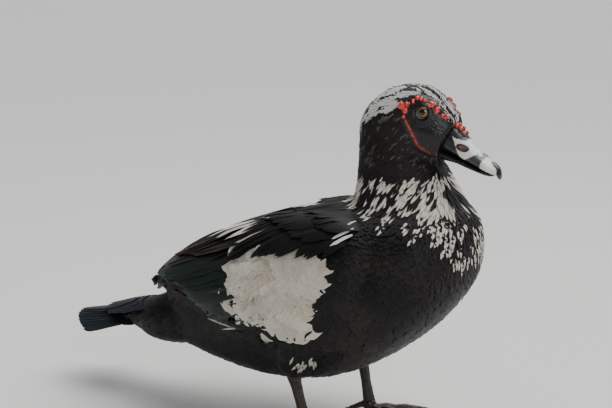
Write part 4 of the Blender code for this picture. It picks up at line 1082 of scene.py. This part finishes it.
def bare_mask(side, word):
    """One side's bare skin, from the form's own surface, made finer, folded and given a back."""
    keep = (from_bare_face(face_places) < 1.7 * MM) & (face_places[:, 1] * side > BARE_INSIDE - 2.5 * MM)
    keep &= (before_bill(face_places) > -2.5 * MM) & (face_places[:, 2] > EYE.z - 0.048)
    keep &= face_places[:, 0] < EYE.x + 0.046
    bm = bmesh.new()
    verts = {}
    for face in np.nonzero(keep)[0]:
        for index in form_faces[face]:
            if index not in verts:
                verts[index] = bm.verts.new(form_places[index])
        bm.faces.new([verts[index] for index in form_faces[face]])
    bmesh.ops.subdivide_edges(bm, edges=bm.edges, cuts=3, use_grid_fill=True)
    for _ in range(3):
        bmesh.ops.smooth_vert(bm, verts=[v for v in bm.verts if not v.is_boundary], factor=0.5,
                              use_axis_x=True, use_axis_y=True, use_axis_z=True)
    bm.normal_update()
    if sum(v.normal.y for v in bm.verts) * side < 0:
        bmesh.ops.reverse_faces(bm, faces=bm.faces)
        bm.normal_update()
    places = np.array([v.co for v in bm.verts])
    normals = np.array([v.normal for v in bm.verts])
    forward, up = on_face_plane(places)
    round_eye = np.hypot(forward, up * 1.02)
    round_eye += 0.35 * gruff(places, 0.006, 3)
    height = 0.10 + 0.16 * gruff(places, 0.0030, 1) + 0.09 * np.abs(gruff(places, 0.0012, 2))
    folds = sum(tall * bump_at(round_eye - radius, wide) for radius, tall, wide in LID_FOLDS)
    below = smooth_step(6, -8, up) * 0.5 + 0.5
    height += folds * below
    height += 0.9 * np.exp(-(((forward - 9) / 13) ** 2) - (((up + 17 + 0.25 * forward) / 4.5) ** 2))
    height += 0.5 * np.exp(-(((forward - 24) / 8) ** 2) - (((up + 5 + 0.4 * (forward - 20)) / 2.6) ** 2))
    creases = np.sin((up + 0.55 * forward + 2.2 * gruff(places, 0.009, 5)) * 2.1)
    height += 0.05 * creases * smooth_step(10, 16, round_eye) * smooth_step(34, 20, forward)
    away = from_bare_face(places) / MM
    tucked = height * smooth_step(0.4, -0.6, away) - 1.7 * smooth_step(-0.2, 1.3, away)
    height = np.where(away > -0.6, tucked, height)
    height = np.where(round_eye < 6.4, height - 2.4 * smooth_step(6.4, 5.2, round_eye), height)
    moved = places + normals * height[:, None] * MM
    for v, place in zip(bm.verts, moved):
        v.co = place
    ridge, _ = near_line(CHEEK_LINE, forward, up)
    brown = 0.75 * bump_at(ridge, 2.4) * smooth_step(2.0, -1.5, away)
    tints = BARE_BLACK * (1 - brown[:, None]) + BARE_BROWN * brown[:, None]
    # The crests of the folds round the eye are lightened as a painted highlight; the faint noise added with
    # them is the skin's own uneven tone.
    tints += np.clip(folds * 0.020 + 0.010 * gruff(places, 0.004, 7), 0, 1)[:, None]
    colour = bm.verts.layers.float_color.new("tint")
    for v, tint in zip(bm.verts, tints):
        v[colour] = (*tint, 1)
    bmesh.ops.solidify(bm, geom=bm.faces, thickness=MASK_THICKNESS)
    inside_out = bm.calc_volume(signed=True) < 0
    mask = piece_from("bare_mask_" + word, bm)
    if inside_out:
        mask.data.flip_normals()
    dressed(mask, bare_look, "face_skin", "mask_" + word)


bare_look = tinted("bare_black_skin", 0.34, 0.0007, 0.00012, specular=0.32, coat=0.08, coat_roughness=0.3,
                   mottle=0.35)
bare_mask(-1, "right")
bare_mask(1, "left")

# The caruncles: coral-red beads of bare skin over the brow, a thin lumpy ridge down behind the cheek,
# and a few on the knob of the bill. Each is a soft, glossy, uneven lump that grows from the skin.
CORAL = np.array((0.66, 0.038, 0.030))
RIDGE_RED = np.array((0.40, 0.030, 0.020))
BROW_BEADS = (
    (-18.3, 4.8, 3.2), (-14.0, 6.3, 2.3), (-14.4, 1.0, 2.5), (-15.7, -4.2, 1.8), (-9.3, 9.2, 1.9),
    (-6.5, 11.7, 2.1), (-3.0, 10.8, 1.8), (0.2, 9.9, 1.8), (6.8, 6.6, 2.8), (11.2, 2.0, 2.5),
    (15.5, -2.6, 1.7), (19.0, -4.0, 2.0),
)
RIDGE_BEADS = 34
KNOB_BEADS = ((24.3, -13.6, 2.3), (28.1, -15.8, 2.1), (31.5, -19.2, 1.8))


def on_face(side, forward, up):
    """A place on the side of the head, forward and up from the eye in mm, and its facing."""
    start = Vector((EYE.x + forward * MM, side * 0.06, EYE.z + up * MM))
    place, _, face, _ = form_tree.ray_cast(start, Vector((0, -side, 0)))
    if place is None:
        place, _, face, _ = form_tree.find_nearest(Vector((start.x, side * 0.012, start.z)))
    return np.array(place), face_facings[face]


def lump(bm, place, facing, radii, detail, seed):
    """Adds one uneven bead to a mesh, its third radius along its facing."""
    made = bmesh.ops.create_icosphere(bm, subdivisions=detail, radius=1)["verts"]
    turn = Vector(facing).to_track_quat("Z", "Y").to_matrix()
    for v in made:
        swell = 1 + 0.16 * noise.noise(v.co * 1.3 + Vector((seed, 0, 0)))
        swell += 0.05 * noise.noise(v.co * 4 + Vector((seed, 3, 0)))
        v.co = Vector(place) + turn @ Vector(c * r * swell * MM for c, r in zip(v.co, radii))
    return made


def bead_piece(name, lumps, look, slot):
    """Many uneven beads, each in its own tint, as one piece."""
    bm = bmesh.new()
    colour = bm.verts.layers.float_color.new("tint")
    for k, (place, facing, radii, detail, tint) in enumerate(lumps):
        for v in lump(bm, place, facing, radii, detail, k * 1.7):
            v[colour] = (*tint, 1)
    dressed(piece_from(name, bm), look, slot)


caruncle_look = tinted("coral_caruncle", 0.26, 0.0006, 0.00008, specular=0.55, coat=0.35, mottle=0.14,
                       subsurface=0.12)
bead_rng = np.random.default_rng(91)
caruncle_lumps = []
for side in (-1, 1):
    for forward, up, radius in BROW_BEADS:
        place, facing = on_face(side, forward, up)
        tint = CORAL * bead_rng.uniform(0.85, 1.2)
        radii = (radius * 0.86, radius * 1.0, radius * 0.78)
        caruncle_lumps.append((place + facing * 0.25 * radius * MM, facing, radii, 4, tint))
        for _ in range(3 if radius > 2.2 else 1):
            turn, step = bead_rng.uniform(0, 2 * math.pi), radius * bead_rng.uniform(0.55, 0.75)
            small = radius * bead_rng.uniform(0.48, 0.62)
            beside, out = on_face(side, forward + step * math.cos(turn), up + step * math.sin(turn))
            radii = (small, small, small * 0.9)
            caruncle_lumps.append((beside + out * 0.25 * small * MM, out, radii, 3, tint * 0.95))
    for k in range(RIDGE_BEADS):
        share = k / (RIDGE_BEADS - 1) * 0.92
        at = share * (len(CHEEK_LINE) - 1)
        low = min(int(at), len(CHEEK_LINE) - 2)
        forward, up = (a + (b - a) * (at - low) for a, b in zip(CHEEK_LINE[low], CHEEK_LINE[low + 1]))
        place, facing = on_face(side, forward + bead_rng.normal(0, 0.25), up)
        size = (1.15 - 0.35 * share) * bead_rng.uniform(0.8, 1.2)
        tint = RIDGE_RED * bead_rng.uniform(0.6, 1.35) * (1 - 0.35 * share)
        radii = (size * 0.85, size * 1.25, size * 0.75)
        caruncle_lumps.append((place + facing * 0.15 * MM, facing, radii, 3, tint))
bead_piece("caruncles", caruncle_lumps, caruncle_look, "face_skin")

# The eyes: a wet globe with an orange-brown iris round a wide black pupil, held in wrinkled black lids.
# The iris is streaked out from the pupil and darkens to its rim.
EYE_RADIUS, PUPIL_REACH, IRIS_REACH = 6.5, 0.44, 0.80
AMBER, AMBER_DARK = np.array((0.20, 0.092, 0.024)), np.array((0.085, 0.034, 0.010))
EYE_FACING = Vector((0.12, 1.0, 0.10))
LID_RADIUS, LID_AHEAD, LID_HALF = 6.15 * MM, 3.1 * MM, 0.95 * MM
eye_look = tinted("wet_eye", 0.13, 0.0009, 0.00001, specular=0.35, coat=0.35, coat_roughness=0.02,
                  mottle=0.12)
lid_look = tinted("eyelid_skin", 0.36, 0.0006, 0.0001, coat=0.2, coat_roughness=0.25, mottle=0.3)
for side, word in ((-1, "right"), (1, "left")):
    centre = sum(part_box("eye_" + word), Vector()) / 2
    facing = Vector((EYE_FACING.x, side * EYE_FACING.y, EYE_FACING.z)).normalized()
    turn = facing.to_track_quat("Z", "Y").to_matrix().to_4x4()
    bm = bmesh.new()
    bmesh.ops.create_uvsphere(bm, u_segments=96, v_segments=96, radius=EYE_RADIUS * MM)
    colour = bm.verts.layers.float_color.new("tint")
    for v in bm.verts:
        off = math.atan2(math.hypot(v.co.x, v.co.y), v.co.z)
        spoke = math.atan2(v.co.y, v.co.x)
        streak = noise.noise(Vector((math.cos(spoke) * 9, math.sin(spoke) * 9, off * 1.5)))
        reach = (off - PUPIL_REACH) / (IRIS_REACH - PUPIL_REACH)
        amber = AMBER * (1 + 0.35 * streak)
        rim = float(smooth_step(0.55, 1.0, reach)) + 0.35 * float(smooth_step(0.16, 0.0, reach))
        tint = amber * (1 - min(rim, 1)) + AMBER_DARK * 0.6 * min(rim, 1)
        tint = tint * float(smooth_step(-0.03, 0.04, reach)) * float(smooth_step(1.12, 1.0, reach)) + 0.0015
        v[colour] = (*tint, 1)
    bmesh.ops.transform(bm, matrix=Matrix.Translation(centre) @ turn, verts=bm.verts)
    dressed(piece_from("eyeball_" + word, bm), eye_look, "eye", "eye_" + word)
    bm = bmesh.new()
    ring = bmesh.ops.create_circle(bm, segments=14, radius=LID_HALF)["verts"]
    bmesh.ops.rotate(bm, verts=ring, matrix=Matrix.Rotation(math.pi / 2, 3, "X"))
    bmesh.ops.translate(bm, verts=ring, vec=(LID_RADIUS, 0, LID_AHEAD))
    bmesh.ops.spin(bm, geom=bm.edges[:], axis=(0, 0, 1), cent=(0, 0, 0), steps=72, angle=2 * math.pi,
                   use_merge=True)
    bmesh.ops.remove_doubles(bm, verts=bm.verts, dist=1e-6)
    bmesh.ops.recalc_face_normals(bm, faces=bm.faces)
    colour = bm.verts.layers.float_color.new("tint")
    for v in bm.verts:
        spoke = math.atan2(v.co.y, v.co.x)
        wave = noise.noise(Vector((math.cos(spoke) * 5, math.sin(spoke) * 5, v.co.z / MM * 1.2)))
        v.co += Vector((v.co.x, v.co.y, 0)).normalized() * 0.22 * MM * wave
        # The lid is lighter where its wrinkles bulge out and darker where they dip: painted highlight and
        # shade.
        v[colour] = (*(BARE_BLACK * (1.6 + 1.4 * wave)), 1)
    bmesh.ops.transform(bm, matrix=Matrix.Translation(centre) @ turn, verts=bm.verts)
    dressed(piece_from("eyelid_" + word, bm), lid_look, "face_skin")

# The bill: white horn with a black base round the nostril, a black knob with red beads, a grey-black band
# and a black nail. The cutting edge is grey, partly its own lamellae and partly a painted highlight along
# them, and pink towards the tip. The lower bill is black.
HORN_WHITE, HORN_BLACK = np.array((0.70, 0.69, 0.67)), np.array((0.010, 0.010, 0.011))
HORN_GREY, HORN_PINK = np.array((0.040, 0.044, 0.050)), np.array((0.62, 0.24, 0.21))
LAMELLA_GREY_AND_HIGHLIGHT, NOSTRIL_BROWN = np.array((0.22, 0.21, 0.20)), np.array((0.20, 0.085, 0.070))
NOSTRIL_PLACE, NOSTRIL_HALF, NOSTRIL_SLANT = (33.7, -29.6), (4.6, 2.3), math.radians(-18)
BASE_LINE = ((24.2, -21.0), (34.4, -42.4))
BAND_REAR, BAND_FRONT = ((45.6, -34.0), (32.0, -42.6)), ((52.2, -37.4), (50.4, -48.0))
BAND_TOP, KNOB_LINE = ((45.6, -33.9), (52.0, -37.3)), ((24.2, -20.4), (35.2, -24.2))


def ahead_of(line, forward, up):
    """How far in mm a place lies on the bill tip's side of a line drawn across the bill."""
    (x0, y0), (x1, y1) = line
    length = math.hypot(x1 - x0, y1 - y0)
    return ((forward - x0) * (y0 - y1) + (up - y0) * (x1 - x0)) / length


def above(line, forward, up):
    """How far in mm a place lies above a line drawn along the bill."""
    (x0, y0), (x1, y1) = line
    return ((up - y0) * (x1 - x0) - (forward - x0) * (y1 - y0)) / math.hypot(x1 - x0, y1 - y0)


def horn_piece(name, node, grain, smoothing, tint_of, look, slot):
    """A finer, smoother copy of a bill or claw node, in its own tints."""
    bm = bmesh.new()
    bm.from_mesh(grown_node(node, 0.05 * MM))
    piece = remeshed(name, bm, grain, smoothing)
    piece.data.shade_smooth()
    add_tint(piece.data, tint_of(mesh_array(piece.data, "vertices", 3, "co")))
    dressed(piece, look, slot, node)


def blend_tint(tints, other, share):
    """Tints mixed with one other by a share at each place."""
    return tints * (1 - share[:, None]) + other * share[:, None]


def upper_bill_tint(places):
    """White horn with its base, knob, band, nostril and pink edge, and a grey cutting edge that is partly
    painted highlight.
    """
    forward, up = on_face_plane(places)
    waver = 0.9 * gruff(places, 0.004, 11) + 0.3 * gruff(places, 0.0012, 12)
    base = smooth_step(0.6, -0.6, ahead_of(BASE_LINE, forward, up) + waver)
    culmen = smooth_step(-0.6, 0.6, above(KNOB_LINE, forward, up) + waver)
    culmen *= smooth_step(35.8, 34.2, forward + waver)
    band = smooth_step(-0.5, 0.5, ahead_of(BAND_REAR, forward, up) + waver)
    band *= smooth_step(0.5, -0.5, ahead_of(BAND_FRONT, forward, up) + waver)
    band *= smooth_step(0.6, -0.6, above(BAND_TOP, forward, up) + waver)
    tints = HORN_WHITE * (1 - 0.10 * np.abs(gruff(places, 0.003, 13)))[:, None]
    tints = blend_tint(tints, HORN_GREY, band)
    near_lower = np.array([lower_tree.find_nearest(Vector(p))[3] for p in places]) / MM
    edge = smooth_step(1.1, 0.4, near_lower)
    tints = blend_tint(tints, HORN_BLACK * 1.2, np.maximum(base, culmen))
    under_tip = smooth_step(0.9, 0.3, near_lower) * smooth_step(48, 50, forward)
    under_tip *= smooth_step(59, 57, forward)
    tints = blend_tint(tints, HORN_PINK, under_tip)
    # The grey along the cutting edge is the lamellae, with a painted highlight along them.
    tints = blend_tint(tints, LAMELLA_GREY_AND_HIGHLIGHT, 0.7 * edge * smooth_step(49, 46, forward))
    ahead, over = forward - NOSTRIL_PLACE[0], up - NOSTRIL_PLACE[1]
    along = ahead * math.cos(NOSTRIL_SLANT) + over * math.sin(NOSTRIL_SLANT)
    across = -ahead * math.sin(NOSTRIL_SLANT) + over * math.cos(NOSTRIL_SLANT)
    round_nostril = np.hypot(along / NOSTRIL_HALF[0], across / NOSTRIL_HALF[1])
    tints = blend_tint(tints, HORN_BLACK, smooth_step(1.45, 1.2, round_nostril + 0.1 * waver))
    return blend_tint(tints, NOSTRIL_BROWN, smooth_step(0.95, 0.65, round_nostril))


def lower_bill_tint(places):
    """Black horn with a greyer cutting edge."""
    forward, _ = on_face_plane(places)
    tints = HORN_BLACK * (1 + 0.4 * np.abs(gruff(places, 0.003, 14)))[:, None]
    near_upper = np.array([upper_tree.find_nearest(Vector(p))[3] for p in places]) / MM
    edge = 0.6 * smooth_step(0.9, 0.45, near_upper) * smooth_step(10, 16, forward)
    return blend_tint(tints, np.array((0.16, 0.15, 0.145)), edge)


def node_tree_of(node):
    """A node's own surface, to find what lies nearest to it."""
    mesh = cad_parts[node].data
    corners = [v.co.copy() for v in mesh.vertices]
    return BVHTree.FromPolygons(corners, [tuple(f.vertices) for f in mesh.polygons])


lower_tree, upper_tree = node_tree_of("bill_lower"), node_tree_of("bill_upper")
horn_look = tinted("bill_horn", 0.30, 0.0016, 0.00006, coat=0.25, coat_roughness=0.15, mottle=0.07)
black_horn_look = tinted("black_horn", 0.24, 0.0014, 0.00005, coat=0.4, mottle=0.25)
horn_piece("upper_bill", "bill_upper", 0.42 * MM, 4, upper_bill_tint, horn_look, "bill_horn")
horn_piece("lower_bill", "bill_lower", 0.42 * MM, 3, lower_bill_tint, black_horn_look, "dark_horn")
horn_piece("nail_horn", "bill_nail", 0.35 * MM, 3,
           lambda p: HORN_BLACK * (1.1 + 0.4 * gruff(p, 0.002, 15))[:, None], black_horn_look, "dark_horn")
knob_lumps = []
for side in (-1, 1):
    for forward, up, radius in KNOB_BEADS:
        start = Vector((EYE.x + forward * MM, side * 3.2 * MM, EYE.z + 0.02))
        place, normal, _, _ = upper_tree.ray_cast(start, Vector((0, 0, -1)))
        tint = CORAL * bead_rng.uniform(0.85, 1.15)
        knob_lumps.append((np.array(place) - np.array(normal) * 0.3 * radius * MM, normal,
                           (radius * 0.85, radius * 1.0, radius * 0.9), 4, tint))
bead_piece("knob_caruncles", knob_lumps, caruncle_look, "face_skin")

# The legs and webbed feet: tough dark skin in broad plates down the front of the shank, small scales
# on the rest, the toes and the webs, and paler skin in the grooves between them.
SCALE_DARK, SCALE_PALE = np.array((0.012, 0.0090, 0.0075)), np.array((0.052, 0.035, 0.021))
SHANK_SCALE, FOOT_SCALE, FRONT_PLATE, PLATE_STRETCH = 2.1 * MM, 1.5 * MM, 3.4 * MM, 0.35
SCALE_HEIGHT = 0.28 * MM


def scaled_leg(name, node, grain, smoothing):
    """A finer copy of a shank or foot, with its plates and scales raised and tinted."""
    bm = bmesh.new()
    bm.from_mesh(grown_node(node, 0.0))
    piece = remeshed(name, bm, grain, smoothing)
    places = mesh_array(piece.data, "vertices", 3, "co")
    normals = mesh_array(piece.data, "vertices", 3, "normal")
    heights, tints = np.zeros(len(places)), np.zeros((len(places), 3))
    shank = node.startswith("shank")
    for k, place in enumerate(places):
        p = Vector(place)
        size = SHANK_SCALE if shank else FOOT_SCALE
        if shank and normals[k][0] > 0.25:
            size = FRONT_PLATE
            p = Vector((place[0] * PLATE_STRETCH, place[1] * PLATE_STRETCH, place[2]))
        near = noise.voronoi(p / size)[0]
        heights[k] = min((near[1] - near[0]) * 2.2, 1.0)
        tone = 0.75 + 0.5 * noise.cell(Vector(p / (size * 1.7)))
        tints[k] = SCALE_PALE * (1 - heights[k]) * 0.8 + SCALE_DARK * heights[k] * tone
    tints *= (1 + 0.35 * gruff(places, 0.012, 17))[:, None]
    above_floor = smooth_step(0.4 * MM, 1.6 * MM, places[:, 2])
    moved = places + normals * ((heights - 0.7) * SCALE_HEIGHT * above_floor)[:, None]
    piece.data.vertices.foreach_set("co", moved.ravel())
    piece.data.update()
    piece.data.shade_smooth()
    add_tint(piece.data, np.clip(tints, 0, 1))
    dressed(piece, leg_look, "leg_skin", node)


def claw_tint(places):
    """Black horn, a little greyer in places."""
    return HORN_BLACK * (1.6 + 0.8 * gruff(places, 0.002, 18))[:, None]


leg_look = tinted("scaled_leg_skin", 0.42, 0.0008, 0.0001, specular=0.45, coat=0.1, coat_roughness=0.3,
                  mottle=0.2)
for word in ("right", "left"):
    scaled_leg("scaled_shank_" + word, "shank_" + word, 0.6 * MM, 2)
    scaled_leg("scaled_foot_" + word, "foot_" + word, 0.6 * MM, 2)
    for toe in ("middle", "inner", "outer", "hind"):
        claw = "claw_%s_%s" % (word, toe)
        horn_piece(claw + "_horn", claw, 0.3 * MM, 3, claw_tint, black_horn_look, "dark_horn")

# The bare form has done its work, and is taken out of the scene.
bpy.data.objects.remove(form)
